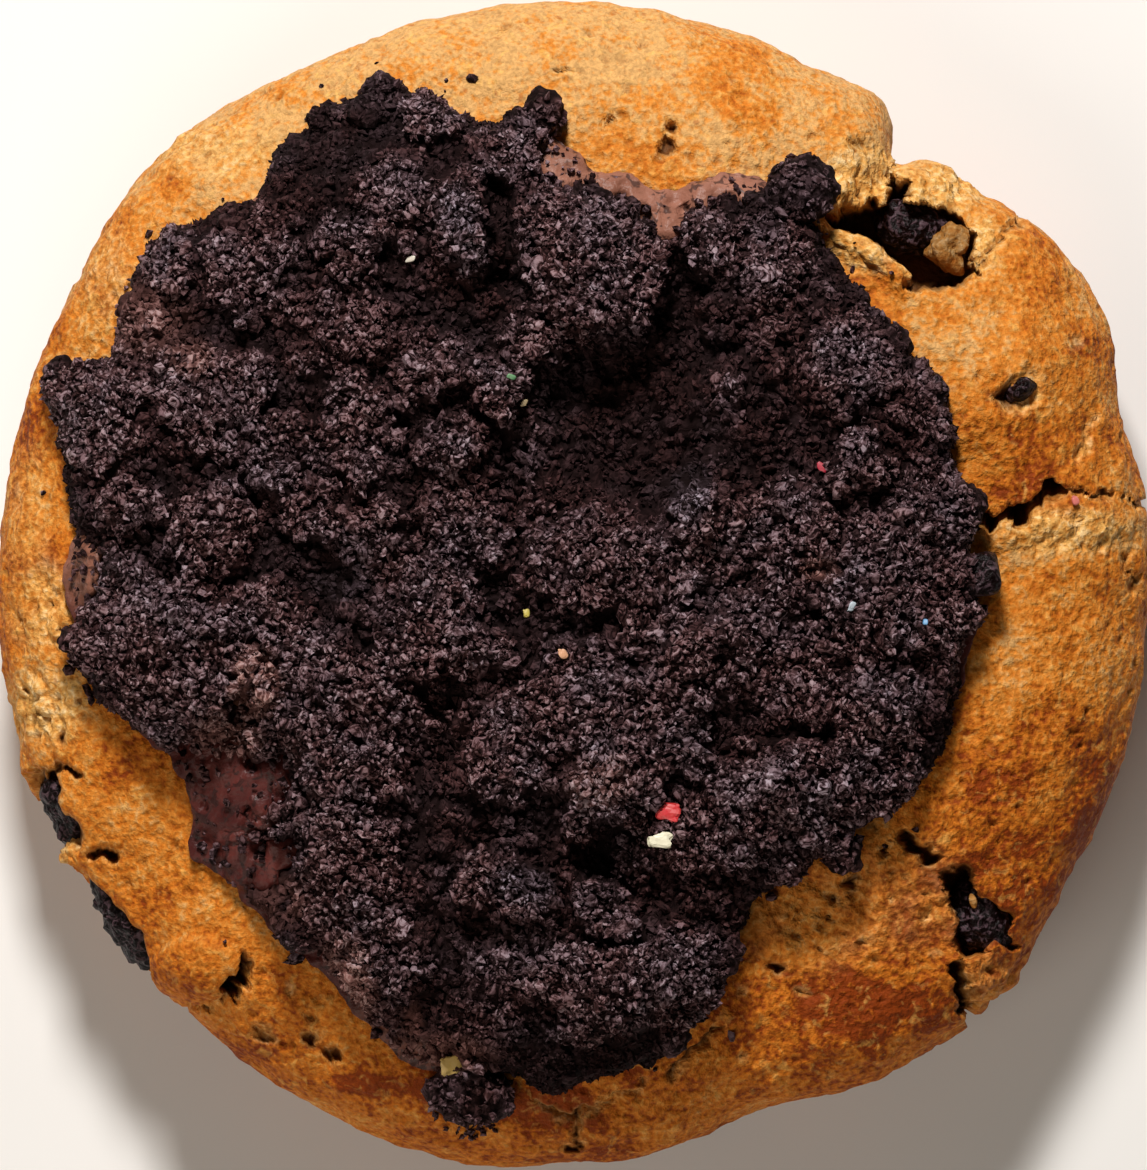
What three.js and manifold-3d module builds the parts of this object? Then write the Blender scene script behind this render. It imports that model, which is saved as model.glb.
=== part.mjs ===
// A thick soft-baked chocolate chip cookie, spread with chocolate and heaped with dark cookie crumbs.
// Millimetres. +Z is up, the cookie rests on z = 0, and the view from above has +X right and +Y up.

import * as THREE from "three";
import { mergeVertices } from "three/addons/utils/BufferGeometryUtils.js";
import Module from "manifold-3d";

const wasm = await Module();
wasm.setup();

// The baked cookie
const COOKIE_RADIUS = 50.3; // to the waist, before the swells and dents of the edge
const COOKIE_HEIGHT = 26; // crust above the table at the middle
const WAIST_HEIGHT = 14; // the widest line of the side
const SHOULDER_POWER = 4; // how flat the top stays before it rolls over the shoulder
const FOOT_INSET = 4.5; // how far the side draws in below the waist

// Chocolate spread and crumb heap
const HEAP_CENTRE = { x: -4.5, y: -0.5 };
const HEAP_RADIUS = 39.6; // to the rim, before its waves
const HEAP_DEPTH = 6; // crumbs over the spread, before the mounds and hollows
const HEAP_RIM_DEPTH = 0.3; // crumbs over the spread at the rim
const HEAP_EDGE_POWER = 6; // how far out the heap keeps its depth
const SPREAD_DEPTH = 0.8;
const SPREAD_RIM_DEPTH = 0.3;
const SPREAD_MARGIN = 0.5; // how far the spread reaches past the crumbs where it doesn't show much
const LAYER_GAP = 0.4; // clearance between pieces that touch

// Loose crumbs that stand out of the heap
const CRUMB_COUNT = 52;
const CRUMB_SMALL = 0.8;
const CRUMB_LARGE = 1.7;
const CRUMB_REACH = 0.94; // share of the way to the rim
const CRUMB_SEED = 11;
const LUMP_ROUGHNESS = 0.16; // how far a lump's corners leave its ellipsoid, as a share of its radius

// Facets
const EDGE_SEGMENTS = 120;
const TOP_RINGS = 12;
const SIDE_RINGS = 5;
const HEAP_SEGMENTS = 72;
const LAYER_RINGS = [0.24, 0.45, 0.63, 0.77, 0.87, 0.93, 0.97, 1]; // shares of the way to the rim
const HEAP_RINGS = [0.12, 0.23, 0.34, 0.45, 0.56, 0.67, 0.77, 0.87, 0.93, 0.97, 1];

// Waves of an outline: degrees from +X, how far out in mm, and the reach before and after in degrees.
const EDGE_WAVES = [
  { at: 17, out: -1.0, before: 6, after: 6 },
  { at: 30, out: 1.9, before: 16, after: 16 },
  { at: 46, out: -2.0, before: 7, after: 6 },
  { at: 52.7, out: -3.6, before: 2.6, after: 2.8 },
  { at: 100, out: 1.1, before: 16, after: 16 },
  { at: 134, out: 1.6, before: 15, after: 15 },
  { at: 257, out: 1.1, before: 12, after: 12 },
  { at: 289, out: -1.4, before: 8, after: 8 },
  { at: 314, out: 1.2, before: 13, after: 13 },
];
const HEAP_WAVES = [
  { at: 27, out: 1.2, before: 5, after: 5 },
  { at: 58, out: 1.5, before: 8, after: 6 },
  { at: 68, out: -4.5, before: 3, after: 4 },
  { at: 76, out: -5.0, before: 8, after: 8 },
  { at: 89, out: 2.2, before: 3, after: 4 },
  { at: 110, out: 6.0, before: 13, after: 13 },
  { at: 138, out: 5.0, before: 8, after: 8 },
  { at: 157, out: 5.4, before: 6, after: 6 },
  { at: 179, out: -2.6, before: 4, after: 4 },
  { at: 212, out: -10.6, before: 13, after: 13 },
  { at: 219, out: -4.0, before: 9, after: 9 },
  { at: 240, out: -3.4, before: 9, after: 9 },
  { at: 277, out: 3.6, before: 17, after: 17 },
  { at: 308, out: -5.6, before: 11, after: 11 },
  { at: 325, out: -3.4, before: 8, after: 8 },
];
const SPREAD_POOLS = [
  { at: 68, out: 3.4, before: 3, after: 4 },
  { at: 75, out: 1.6, before: 5, after: 5 },
  { at: 179, out: 3.4, before: 4, after: 4 },
  { at: 214, out: 4.6, before: 13, after: 13 },
  { at: 219, out: 4.0, before: 9, after: 9 },
  { at: 245, out: 2.0, before: 8, after: 8 },
  { at: 259, out: 1.0, before: 5, after: 5 },
  { at: 353, out: 0.7, before: 7, after: 7 },
];

// Mounds and hollows of a surface: where, how far up, and how wide.
const CRUST_MOUNDS = [
  { x: 38, y: 17, up: 2.2, wide: 9 },
  { x: 42, y: -9, up: 1.5, wide: 10 },
  { x: -33, y: -33.5, up: 2.2, wide: 5 },
  { x: 10, y: 42, up: 0.8, wide: 9 },
  { x: 22, y: -33, up: -1.0, wide: 8 },
  { x: 38, y: 34, up: -1.0, wide: 6 },
];
const HEAP_MOUNDS = [
  { x: 2, y: 27, up: 2.8, wide: 5.5 },
  { x: -9, y: 32, up: 2.0, wide: 5 },
  { x: -18, y: 35, up: 1.2, wide: 5 },
  { x: -33, y: 32, up: 1.2, wide: 4 },
  { x: -11, y: 15, up: 1.2, wide: 5 },
  { x: -17, y: 7, up: 1.6, wide: 4.5 },
  { x: -14, y: -5, up: 1.4, wide: 6 },
  { x: -33, y: -6, up: 1.2, wide: 5 },
  { x: -24, y: -14, up: 1.2, wide: 4 },
  { x: -5, y: -27, up: 1.2, wide: 4 },
  { x: 5, y: -35, up: 1.6, wide: 5 },
  { x: 3, y: -16, up: 1.5, wide: 4 },
  { x: 18, y: -16, up: 1.5, wide: 4.5 },
  { x: 12, y: -7, up: 1.6, wide: 4.5 },
  { x: 11, y: 8, up: 1.2, wide: 4 },
  { x: 24, y: 21, up: 1.2, wide: 5 },
  { x: 5, y: 14.5, up: -5.0, wide: 8 },
  { x: 13, y: 19, up: -2.2, wide: 4 },
  { x: -3, y: 8, up: -1.6, wide: 4.5 },
  { x: 20, y: 12.5, up: -1.4, wide: 3.5 },
  { x: -12, y: -13, up: -1.4, wide: 4 },
  { x: 5, y: -25, up: -1.8, wide: 4.5 },
  { x: -22, y: 10, up: -1.2, wide: 3.5 },
];
const TABLE_FLAT = 0.5; // how far out a mound of the heap is flat, as a share of how wide it is
const TABLE_FOOT = 1.3; // where its steep side ends

// Cracks of the crust: a route in plan, then the width at the surface and the depth below it.
const CRACKS = [
  { route: [[35, 5.3], [39, 6.1], [41, 7.7], [43.6, 8.3], [46.3, 7.6], [52, 7]], width: 2.2, depth: 6 },
  { route: [[27.6, 37.5], [28, 34.5], [28.6, 31]], width: 2.4, depth: 8 },
  { route: [[34.4, 28], [37.5, 30], [39.5, 31.4]], width: 1.0, depth: 2.5 },
  { route: [[28.5, -22], [31, -23.6], [33.5, -26]], width: 1.4, depth: 3 },
  { route: [[34.6, -31], [34.3, -34], [35, -40]], width: 1.4, depth: 5 },
  { route: [[-28.2, -32.8], [-29.2, -35.2], [-31, -36.8], [-35, -39]], width: 2.2, depth: 5 },
  { route: [[-4.6, -44], [-1.2, -46], [0.4, -50]], width: 1.1, depth: 2.2 },
  { route: [[13, -37.2], [10.4, -40.2], [8.6, -43.2]], width: 1.2, depth: 2.2 },
  { route: [[-47.6, -16], [-44.6, -23.6], [-42.2, -27.4], [-39.6, -31], [-36.6, -35]], width: 2, depth: 3 },
];
const CRACK_LID = 6; // how far a crack's cutter stands above the crust

// The torn hole by the edge and the chocolate pieces: where, half sizes, turn, depth of the middle.
const TORN_HOLE = { x: 30.1, y: 29.2, half: [6.2, 3.7, 8], turn: -24, below: 0 };
const CHUNKS = {
  chunk_in_hole: { x: 29.8, y: 31.2, half: [3.5, 2.1, 3], turn: -18, below: 5 },
  chip_right: { x: 39, y: 16.8, half: [1.9, 1.5, 1.7], turn: 25, below: 0.9 },
  chunk_lower_right: { x: 35.6, y: -28.4, half: [2.6, 3.6, 2.6], turn: 12, below: 4.2 },
  chunk_left_upper: { x: -43.9, y: -19.6, half: [2.4, 3.8, 4], turn: 25, below: 5 },
  chunk_left_lower: { x: -38.4, y: -29.1, half: [2.4, 5, 4], turn: 36, below: 5 },
};
const TORN_HOLE_SEED = 5;
const CHUNK_SEED = 21;
const CHUNK_DETAIL = 1;

// Big clumps and coloured flecks that are part of the heap: where, half sizes, turn in plan.
const CLUMPS = [
  { x: 20, y: 34.4, half: [3.2, 3, 2.8], turn: 10 },
  { x: 34.4, y: 0.9, half: [2.5, 2, 1.7], turn: 0 },
  { x: 33.2, y: 5.6, half: [2.3, 2.1, 1.8], turn: 40 },
  { x: -8.9, y: -44.4, half: [4, 2.6, 2], turn: -8 },
  { x: -2.4, y: 41, half: [1.8, 2.2, 1.9], turn: 15 },
  { x: 26.8, y: -18.6, half: [1.9, 1.6, 1.5], turn: 30 },
];
const FLECKS = [
  { x: 8.4, y: -19.7, half: [1.3, 0.9, 0.7], turn: 20 },
  { x: 7.7, y: -22.1, half: [0.9, 0.6, 0.6], turn: -5 },
  { x: -10.5, y: -42, half: [1.3, 0.8, 0.7], turn: -10 },
];
const CLUMP_SEED = 40;
const FLECK_SEED = 60;

// Sum of an outline's waves at an angle in degrees.
function waveSum(waves, degrees) {
  return waves.reduce((sum, { at, out, before, after }) => {
    const past = THREE.MathUtils.euclideanModulo(degrees - at + 180, 360) - 180;
    const reach = past < 0 ? before : after;
    return sum + out * Math.exp(-((past / reach) ** 2));
  }, 0);
}

// Sum of a surface's mounds at a point in plan.
function moundSum(mounds, x, y) {
  return mounds.reduce((sum, mound) => {
    const far = Math.hypot(x - mound.x, y - mound.y) / mound.wide;
    return sum + mound.up * Math.exp(-(far ** 2));
  }, 0);
}

// Sum of flat-topped mounds with steep sides at a point in plan.
function tableSum(mounds, x, y) {
  return mounds.reduce((sum, mound) => {
    const far = Math.hypot(x - mound.x, y - mound.y) / mound.wide;
    return sum + mound.up * (1 - THREE.MathUtils.smoothstep(far, TABLE_FLAT, TABLE_FOOT));
  }, 0);
}

const degreesOf = (x, y) => THREE.MathUtils.radToDeg(Math.atan2(y, x));
const edgeRadius = (degrees) => COOKIE_RADIUS + waveSum(EDGE_WAVES, degrees);
const heapRadius = (degrees) => HEAP_RADIUS + waveSum(HEAP_WAVES, degrees);
const spreadRadius = (degrees) => heapRadius(degrees) + SPREAD_MARGIN + waveSum(SPREAD_POOLS, degrees);

// Height of the crust above the table.
function crustHeight(x, y) {
  const share = Math.min(1, Math.hypot(x, y) / edgeRadius(degreesOf(x, y)));
  const roundOver = Math.sqrt(1 - share ** SHOULDER_POWER);
  const mounds = moundSum(CRUST_MOUNDS, x, y) * roundOver;
  return WAIST_HEIGHT + (COOKIE_HEIGHT - WAIST_HEIGHT) * roundOver + mounds;
}

const heapSeat = (x, y) => crustHeight(x, y) + SPREAD_DEPTH + 2 * LAYER_GAP;

// Height of the crumb heap's own surface, with share the way out from its centre to its rim.
function heapTop(x, y, share) {
  const full = Math.sqrt(Math.max(0, 1 - share ** HEAP_EDGE_POWER));
  const depth = HEAP_RIM_DEPTH + (HEAP_DEPTH - HEAP_RIM_DEPTH + tableSum(HEAP_MOUNDS, x, y)) * full;
  return heapSeat(x, y) + depth;
}

// Repeatable random numbers from 0 to 1.
function seededRandom(seed) {
  let state = seed;
  return () => {
    state = (state + 0x6d2b79f5) | 0;
    let mixed = Math.imul(state ^ (state >>> 15), 1 | state);
    mixed = (mixed + Math.imul(mixed ^ (mixed >>> 7), 61 | mixed)) ^ mixed;
    return ((mixed ^ (mixed >>> 14)) >>> 0) / 4294967296;
  };
}

// A closed body lofted through rings of equal count, with a single point at each end.
function loft(first, rings, last) {
  const count = rings[0].length;
  const points = [first, ...rings.flat(), last];
  const endRing = 1 + (rings.length - 1) * count;
  const index = [];
  for (let i = 0; i < count; i++) {
    const next = (i + 1) % count;
    index.push(0, 1 + i, 1 + next);
    for (let start = 1; start < endRing; start += count) {
      const below = start + count;
      index.push(start + i, below + i, below + next);
      index.push(start + i, below + next, start + next);
    }
    index.push(endRing + next, endRing + i, points.length - 1);
  }
  return new THREE.BufferGeometry().setFromPoints(points).setIndex(index);
}

// A geometry as a solid, with its faces turned outwards.
function solidOf(geometry) {
  const bare = new THREE.BufferGeometry();
  bare.setAttribute("position", geometry.getAttribute("position"));
  bare.setIndex(geometry.getIndex());
  const merged = mergeVertices(bare);
  const triVerts = new Uint32Array(merged.index.array);
  const vertProperties = new Float32Array(merged.getAttribute("position").array);
  const build = () => new wasm.Manifold(new wasm.Mesh({ numProp: 3, vertProperties, triVerts }));
  const solid = build();
  if (solid.volume() > 0) return solid;
  for (let i = 0; i < triVerts.length; i += 3) {
    [triVerts[i + 1], triVerts[i + 2]] = [triVerts[i + 2], triVerts[i + 1]];
  }
  return build();
}

// The largest body of a solid, without the scraps that cutting leaves.
function largestBody(solid) {
  return solid.decompose().reduce((best, body) => (body.volume() > best.volume() ? body : best));
}

// A named mesh of a solid.
function meshOf(name, solid, material) {
  const { vertProperties, triVerts } = largestBody(solid).getMesh();
  const geometry = new THREE.BufferGeometry();
  geometry.setAttribute("position", new THREE.BufferAttribute(vertProperties, 3));
  geometry.setIndex(new THREE.BufferAttribute(triVerts, 1));
  const mesh = new THREE.Mesh(geometry, material);
  mesh.name = name;
  return mesh;
}

// An uneven lump: an ellipsoid whose corners are pushed in and out.
function lump(half, turn, detail, seed) {
  const random = seededRandom(seed);
  const ball = new THREE.IcosahedronGeometry(1, detail);
  ball.deleteAttribute("normal");
  ball.deleteAttribute("uv");
  const geometry = mergeVertices(ball);
  const position = geometry.getAttribute("position");
  for (let i = 0; i < position.count; i++) {
    const push = 1 + LUMP_ROUGHNESS * (2 * random() - 1);
    position.setXYZ(i, position.getX(i) * push, position.getY(i) * push, position.getZ(i) * push);
  }
  return geometry.scale(...half).rotateZ(THREE.MathUtils.degToRad(turn));
}

// A ring of points round a centre, one for each segment, placed by a function of angle.
function ringOf(segments, centre, radiusAt, heightAt) {
  return Array.from({ length: segments }, (_, i) => {
    const degrees = (360 * i) / segments;
    const radius = radiusAt(degrees);
    const x = centre.x + radius * Math.cos(THREE.MathUtils.degToRad(degrees));
    const y = centre.y + radius * Math.sin(THREE.MathUtils.degToRad(degrees));
    return new THREE.Vector3(x, y, heightAt(x, y));
  });
}

// The cookie before it cracked: a domed top, a round shoulder, and a side that draws in to a flat foot.
function cookieBody() {
  const middle = { x: 0, y: 0 };
  const rings = [];
  for (let k = 1; k <= TOP_RINGS; k++) {
    const share = Math.sin((Math.PI / 2) * (k / TOP_RINGS));
    rings.push(ringOf(EDGE_SEGMENTS, middle, (degrees) => share * edgeRadius(degrees), crustHeight));
  }
  for (let k = 1; k <= SIDE_RINGS; k++) {
    const down = Math.sin((Math.PI / 2) * (k / SIDE_RINGS));
    const inset = FOOT_INSET * (1 - Math.sqrt(1 - down ** 2));
    const height = WAIST_HEIGHT * (1 - down);
    rings.push(ringOf(EDGE_SEGMENTS, middle, (degrees) => edgeRadius(degrees) - inset, () => height));
  }
  return loft(new THREE.Vector3(0, 0, crustHeight(0, 0)), rings, new THREE.Vector3(0, 0, 0));
}

// A wedge along a crack's route, open at the crust and sharp at the bottom, closing to a point at both ends.
function crackCutter({ route, width, depth }) {
  const points = route.map(([x, y]) => new THREE.Vector2(x, y));
  const sections = points.slice(1, -1).map((point, i) => {
    const along = points[i + 2].clone().sub(points[i]).normalize();
    const side = new THREE.Vector2(-along.y, along.x).multiplyScalar(width / 2);
    const crust = crustHeight(point.x, point.y);
    const spread = 1 + CRACK_LID / depth; // the lid carries on the wedge's slope
    return [
      new THREE.Vector3(point.x + side.x * spread, point.y + side.y * spread, crust + CRACK_LID),
      new THREE.Vector3(point.x, point.y, crust - depth),
      new THREE.Vector3(point.x - side.x * spread, point.y - side.y * spread, crust + CRACK_LID),
    ];
  });
  const tip = (point) => new THREE.Vector3(point.x, point.y, crustHeight(point.x, point.y));
  return solidOf(loft(tip(points[0]), sections, tip(points.at(-1))));
}

// A lump set into the crust, grown by a clearance when it is the pocket for a piece.
function lumpInCrust({ x, y, half, turn, below }, seed, clearance = 0) {
  const grown = half.map((size) => size + clearance);
  const shape = lump(grown, turn, CHUNK_DETAIL, seed);
  return solidOf(shape.translate(x, y, crustHeight(x, y) - below));
}

// The layer between two surfaces over the crust, out to a rim, with the top's rings given.
function layer(radiusAt, bottomAt, topAt, topRings) {
  const ring = (share, heightAt) =>
    ringOf(HEAP_SEGMENTS, HEAP_CENTRE, (degrees) => share * radiusAt(degrees), heightAt);
  const top = topRings.map((share) => ring(share, (x, y) => topAt(x, y, share)));
  const under = LAYER_RINGS.toReversed().map((share) => ring(share, bottomAt));
  const { x, y } = HEAP_CENTRE;
  const peak = new THREE.Vector3(x, y, topAt(x, y, 0));
  const base = new THREE.Vector3(x, y, bottomAt(x, y));
  return solidOf(loft(peak, [...top, ...under], base));
}

// Loose crumbs spread evenly over the heap on a sunflower spiral, half sunk into it.
function looseCrumbs() {
  const random = seededRandom(CRUMB_SEED);
  const goldenAngle = 180 * (3 - Math.sqrt(5));
  return Array.from({ length: CRUMB_COUNT }, (_, i) => {
    const share = CRUMB_REACH * Math.sqrt((i + 0.5) / CRUMB_COUNT);
    const degrees = (i * goldenAngle) % 360;
    const radius = share * heapRadius(degrees);
    const x = HEAP_CENTRE.x + radius * Math.cos(THREE.MathUtils.degToRad(degrees));
    const y = HEAP_CENTRE.y + radius * Math.sin(THREE.MathUtils.degToRad(degrees));
    const size = THREE.MathUtils.lerp(CRUMB_SMALL, CRUMB_LARGE, random() ** 2);
    const half = [size * (0.8 + 0.5 * random()), size, size * (0.7 + 0.3 * random())];
    const lowest = heapSeat(x, y) + half[2] * (1 + LUMP_ROUGHNESS);
    const shape = lump(half, 360 * random(), 0, CRUMB_SEED + i);
    return solidOf(shape.translate(x, y, Math.max(heapTop(x, y, share), lowest)));
  });
}

// A clump that lies on the heap's seat, or on the heap's own surface further in.
function clumpOnHeap({ x, y, half, turn }, seed, detail) {
  const fromCentre = Math.hypot(x - HEAP_CENTRE.x, y - HEAP_CENTRE.y);
  const share = fromCentre / heapRadius(degreesOf(x - HEAP_CENTRE.x, y - HEAP_CENTRE.y));
  const lowest = heapSeat(x, y) + half[2] * (1 + LUMP_ROUGHNESS);
  const height = share < 1 ? Math.max(heapTop(x, y, share), lowest) : lowest;
  return solidOf(lump(half, turn, detail, seed).translate(x, y, height));
}

// The cookie with its cracks, the torn hole, and a pocket for each piece of chocolate.
function crackedCookie() {
  const chunkPockets = Object.values(CHUNKS).map((chunk, i) => lumpInCrust(chunk, CHUNK_SEED + i, LAYER_GAP));
  const cutters = [...CRACKS.map(crackCutter), lumpInCrust(TORN_HOLE, TORN_HOLE_SEED), ...chunkPockets];
  return cutters.reduce((cookie, cutter) => cookie.subtract(cutter), solidOf(cookieBody()));
}

// The thin chocolate layer that the crumbs stick to.
function chocolateSpread() {
  const bottom = (x, y) => crustHeight(x, y) + LAYER_GAP;
  const top = (x, y, share) => {
    const full = Math.sqrt(Math.max(0, 1 - share ** HEAP_EDGE_POWER));
    return bottom(x, y) + SPREAD_RIM_DEPTH + (SPREAD_DEPTH - SPREAD_RIM_DEPTH) * full;
  };
  return layer(spreadRadius, bottom, top, LAYER_RINGS);
}

// The heap of crumbs with its larger crumbs, clumps and flecks fused on.
function crumbHeap() {
  const clumps = CLUMPS.map((clump, i) => clumpOnHeap(clump, CLUMP_SEED + i, 1));
  const flecks = FLECKS.map((fleck, i) => clumpOnHeap(fleck, FLECK_SEED + i, 0));
  const pieces = [...clumps, ...flecks, ...looseCrumbs()];
  return pieces.reduce((heap, piece) => heap.add(piece), layer(heapRadius, heapSeat, heapTop, HEAP_RINGS));
}

const crust = new THREE.MeshStandardMaterial({ color: 0xcf8a3e, roughness: 0.85, metalness: 0 });
const spread = new THREE.MeshStandardMaterial({ color: 0x5a2c20, roughness: 0.35, metalness: 0 });
const crumbs = new THREE.MeshStandardMaterial({ color: 0x2c1e1d, roughness: 0.8, metalness: 0 });
const chocolate = new THREE.MeshStandardMaterial({ color: 0x3a1d14, roughness: 0.4, metalness: 0 });

const cookie = new THREE.Group();
cookie.name = "topped_cookie";
cookie.add(meshOf("cookie_base", crackedCookie(), crust));
cookie.add(meshOf("chocolate_spread", chocolateSpread(), spread));
cookie.add(meshOf("crumb_topping", crumbHeap(), crumbs));
Object.entries(CHUNKS).forEach(([name, chunk], i) => {
  cookie.add(meshOf(name, lumpInCrust(chunk, CHUNK_SEED + i), chocolate));
});

export default cookie;
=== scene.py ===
"""A thick chocolate chip cookie with a chocolate crumb topping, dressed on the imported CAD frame.

Shapes are worked out in millimetres and become metres when a piece is made. Seen from above, +X is the
right of the photograph and +Y its top.
"""

import itertools

import bmesh
import bpy
import numpy as np
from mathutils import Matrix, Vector


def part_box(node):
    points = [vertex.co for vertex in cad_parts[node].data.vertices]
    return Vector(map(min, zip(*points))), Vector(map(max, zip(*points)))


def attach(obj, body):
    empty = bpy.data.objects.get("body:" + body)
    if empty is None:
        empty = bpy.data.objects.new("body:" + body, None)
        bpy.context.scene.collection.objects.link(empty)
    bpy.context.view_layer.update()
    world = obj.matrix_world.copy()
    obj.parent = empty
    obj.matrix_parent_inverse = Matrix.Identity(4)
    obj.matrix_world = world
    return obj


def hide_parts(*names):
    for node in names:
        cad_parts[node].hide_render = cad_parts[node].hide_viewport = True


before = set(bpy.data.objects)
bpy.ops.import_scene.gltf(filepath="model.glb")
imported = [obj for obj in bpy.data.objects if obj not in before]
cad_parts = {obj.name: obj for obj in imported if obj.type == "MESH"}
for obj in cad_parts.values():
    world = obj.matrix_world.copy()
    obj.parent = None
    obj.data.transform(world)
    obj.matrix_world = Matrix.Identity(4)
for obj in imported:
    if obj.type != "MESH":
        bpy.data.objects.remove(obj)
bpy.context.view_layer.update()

MM = 0.001
TINY = 1e-9

# The baked cookie
COOKIE_RADIUS = 50.3
COOKIE_HEIGHT = 26
WAIST_HEIGHT = 14
SHOULDER_POWER = 4
FOOT_INSET = 4.5

# Chocolate spread and crumb heap, with the lobes of their ragged rims
HEAP_CENTRE = np.array([-4.5, -0.5])
HEAP_RADIUS = 39.6
HEAP_DEPTH = 6.0
HEAP_RIM_DEPTH = 0.3
HEAP_EDGE_POWER = 6
SPREAD_DEPTH = 0.8
SPREAD_RIM_DEPTH = 0.3
SPREAD_MARGIN = -0.6
LAYER_GAP = 0.4
RIM_ROUNDING = 0.16
RIM_RAGGEDNESS = 1.3
RIM_LOBE = 4.5
RIM_SEED = 41
HEAP_LOBE_SIZES = 3
SPREAD_LOBE_SIZES = 1
SPREAD_RAGGEDNESS = 0.6
SEAT_RISE = 3
LEAST_DEPTH = 0.2
SUNK_IN_CRUST = 0.2

# Waves of an outline: degrees from +X, how far out, and the reach before and after in degrees
EDGE_WAVES = (
    (17, -1.0, 6, 6), (30, 1.9, 16, 16), (46, -2.0, 7, 6), (52.7, -3.6, 2.6, 2.8),
    (100, 1.1, 16, 16), (134, 1.6, 15, 15), (257, 1.1, 12, 12), (289, -1.4, 8, 8),
    (314, 1.2, 13, 13),
)
HEAP_WAVES = (
    (27, 1.2, 5, 5), (58, 1.5, 8, 6), (68, -4.5, 3, 4), (76, -5.0, 8, 8), (89, 2.2, 3, 4),
    (110, 6.0, 13, 13), (138, 5.0, 8, 8), (157, 5.4, 6, 6), (179, -2.6, 4, 4), (212, -10.6, 13, 13),
    (219, -4.0, 9, 9), (240, -3.4, 9, 9), (277, 3.6, 17, 17), (308, -5.6, 11, 11),
    (325, -3.4, 8, 8),
)
SPREAD_POOLS = (
    (62, 1.6, 5, 4), (68, 4.2, 3, 4), (75, 2.6, 6, 6), (84, 1.6, 4, 3), (179, 3.4, 4, 4),
    (213, 7.0, 9, 8), (220, 5.4, 6, 7), (238, 1.0, 5, 5), (245, 1.4, 8, 8), (259, 2.8, 8, 7),
    (353, 0.8, 7, 7),
)

# Mounds and hollows: x, y, how far up, and how wide
CRUST_MOUNDS = (
    (38, 17, 2.2, 9), (42, -9, 1.5, 10), (-33, -33.5, 2.2, 5), (10, 42, 0.8, 9), (22, -33, -1.0, 8),
    (38, 34, -1.0, 6),
)
HEAP_MOUNDS = (
    (2, 27, 2.8, 5.5), (-9, 32, 2.0, 5), (-18, 35, 1.2, 5), (-33, 32, 1.2, 4), (-11, 15, 1.2, 5),
    (-17, 7, 1.6, 4.5), (-14, -5, 1.4, 6), (-33, -6, 1.2, 5), (-24, -14, 1.2, 4), (-5, -27, 1.2, 4),
    (5, -35, 1.6, 5), (3, -16, 1.5, 4), (18, -16, 1.5, 4.5), (12, -7, 1.6, 4.5), (11, 8, 1.2, 4),
    (24, 21, 1.2, 5), (5, 14.5, -5.0, 8), (12.5, 23.2, -2.8, 4.5), (-3, 8, -1.6, 4.5),
    (20, 12.5, -1.4, 3.5), (-12, -13, -1.4, 4), (5, -25, -1.8, 4.5), (-22, 10, -1.2, 3.5),
)

# Where the steep side of a mound, and the soft edge of an area, start and end in shares of its size
MOUND_SIDE = (0.5, 1.3)
AREA_EDGE = (0.5, 1.35)

# Clumps and gaps of the heap with steep edges: outline in plan, how far up, and half the width of the edge
HEAP_SLABS = (
    (
        (
            (-5, 32.1), (-2.6, 34.7), (0.2, 35.1), (3.3, 33.7), (6.1, 32.2), (7.2, 29.7), (8.5, 28),
            (6.9, 22.7), (2.5, 22.2), (1, 20.9), (-0.4, 23), (-4.8, 26.9), (-5.4, 29.4),
        ),
        1.6,
        0.5,
    ),
    (((8.6, 29), (10.4, 28.3), (10.8, 26.1), (9.2, 24), (8, 21.8), (7, 22.7), (8.2, 26.4)), -3.4, 0.5),
    (((-7.4, 35.5), (-5.2, 34.2), (-5, 30), (-4.6, 26.6), (-5.4, 25), (-7, 26.6), (-7.6, 31)), -3.2, 0.6),
    (((-12.4, 33.5), (-9.5, 36.2), (-6.8, 34.5), (-7.4, 31), (-7, 27.9), (-9.5, 27), (-12, 29)), 1.2, 0.6),
    (
        ((8.2, -4.8), (10.3, -3.1), (13.8, -3.2), (16.3, -5.5), (14.3, -10.1), (10.8, -10.5), (8.4, -8.8)),
        1.2,
        0.6,
    ),
    (((-0.9, -16.2), (1.6, -14.6), (4.6, -14.9), (6.1, -17.5), (5.3, -20.6), (2.5, -21.5)), 1.2, 0.6),
    (
        ((1.6, -34.2), (4.2, -31.6), (8.6, -31.1), (12.1, -33.3), (12.3, -36.8), (5.1, -39.4), (2, -37.2)),
        1.2,
        0.6,
    ),
)

# Places where the spread shows through the crumbs: x, y, half sizes, strength
SPREAD_SHOWS = (
    (-28.5, -17.5, 5.5, 5, 1.0), (-27, -23.5, 4, 4, 1.0), (-28.6, -11.2, 2, 1.6, 0.8),
    (-41.8, 1.5, 1.6, 3, 1.0), (-0.9, 36.6, 2.6, 2.2, 1.0), (2, 35.6, 2.4, 2, 1.0),
    (5.4, 33.4, 2.6, 2.3, 1.0), (8.2, 31.6, 1.7, 2.3, 1.0), (12.6, 33.8, 3.6, 1.6, 1.0),
)

# Places where the spread is thin, how high it stands where it shows, and where both start and end
THIN_AREAS = (
    (-42, 1.5, 3, 4, 0.9), (-28.6, -10.8, 2.6, 2.6, 0.55), (-15, -40, 7, 4, 0.35),
)
SHOWN_RISE = 2.6
SHOWN_PATCH_EDGE = (-0.75, -0.1)
THIN_FROM = (15, 30)

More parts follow.
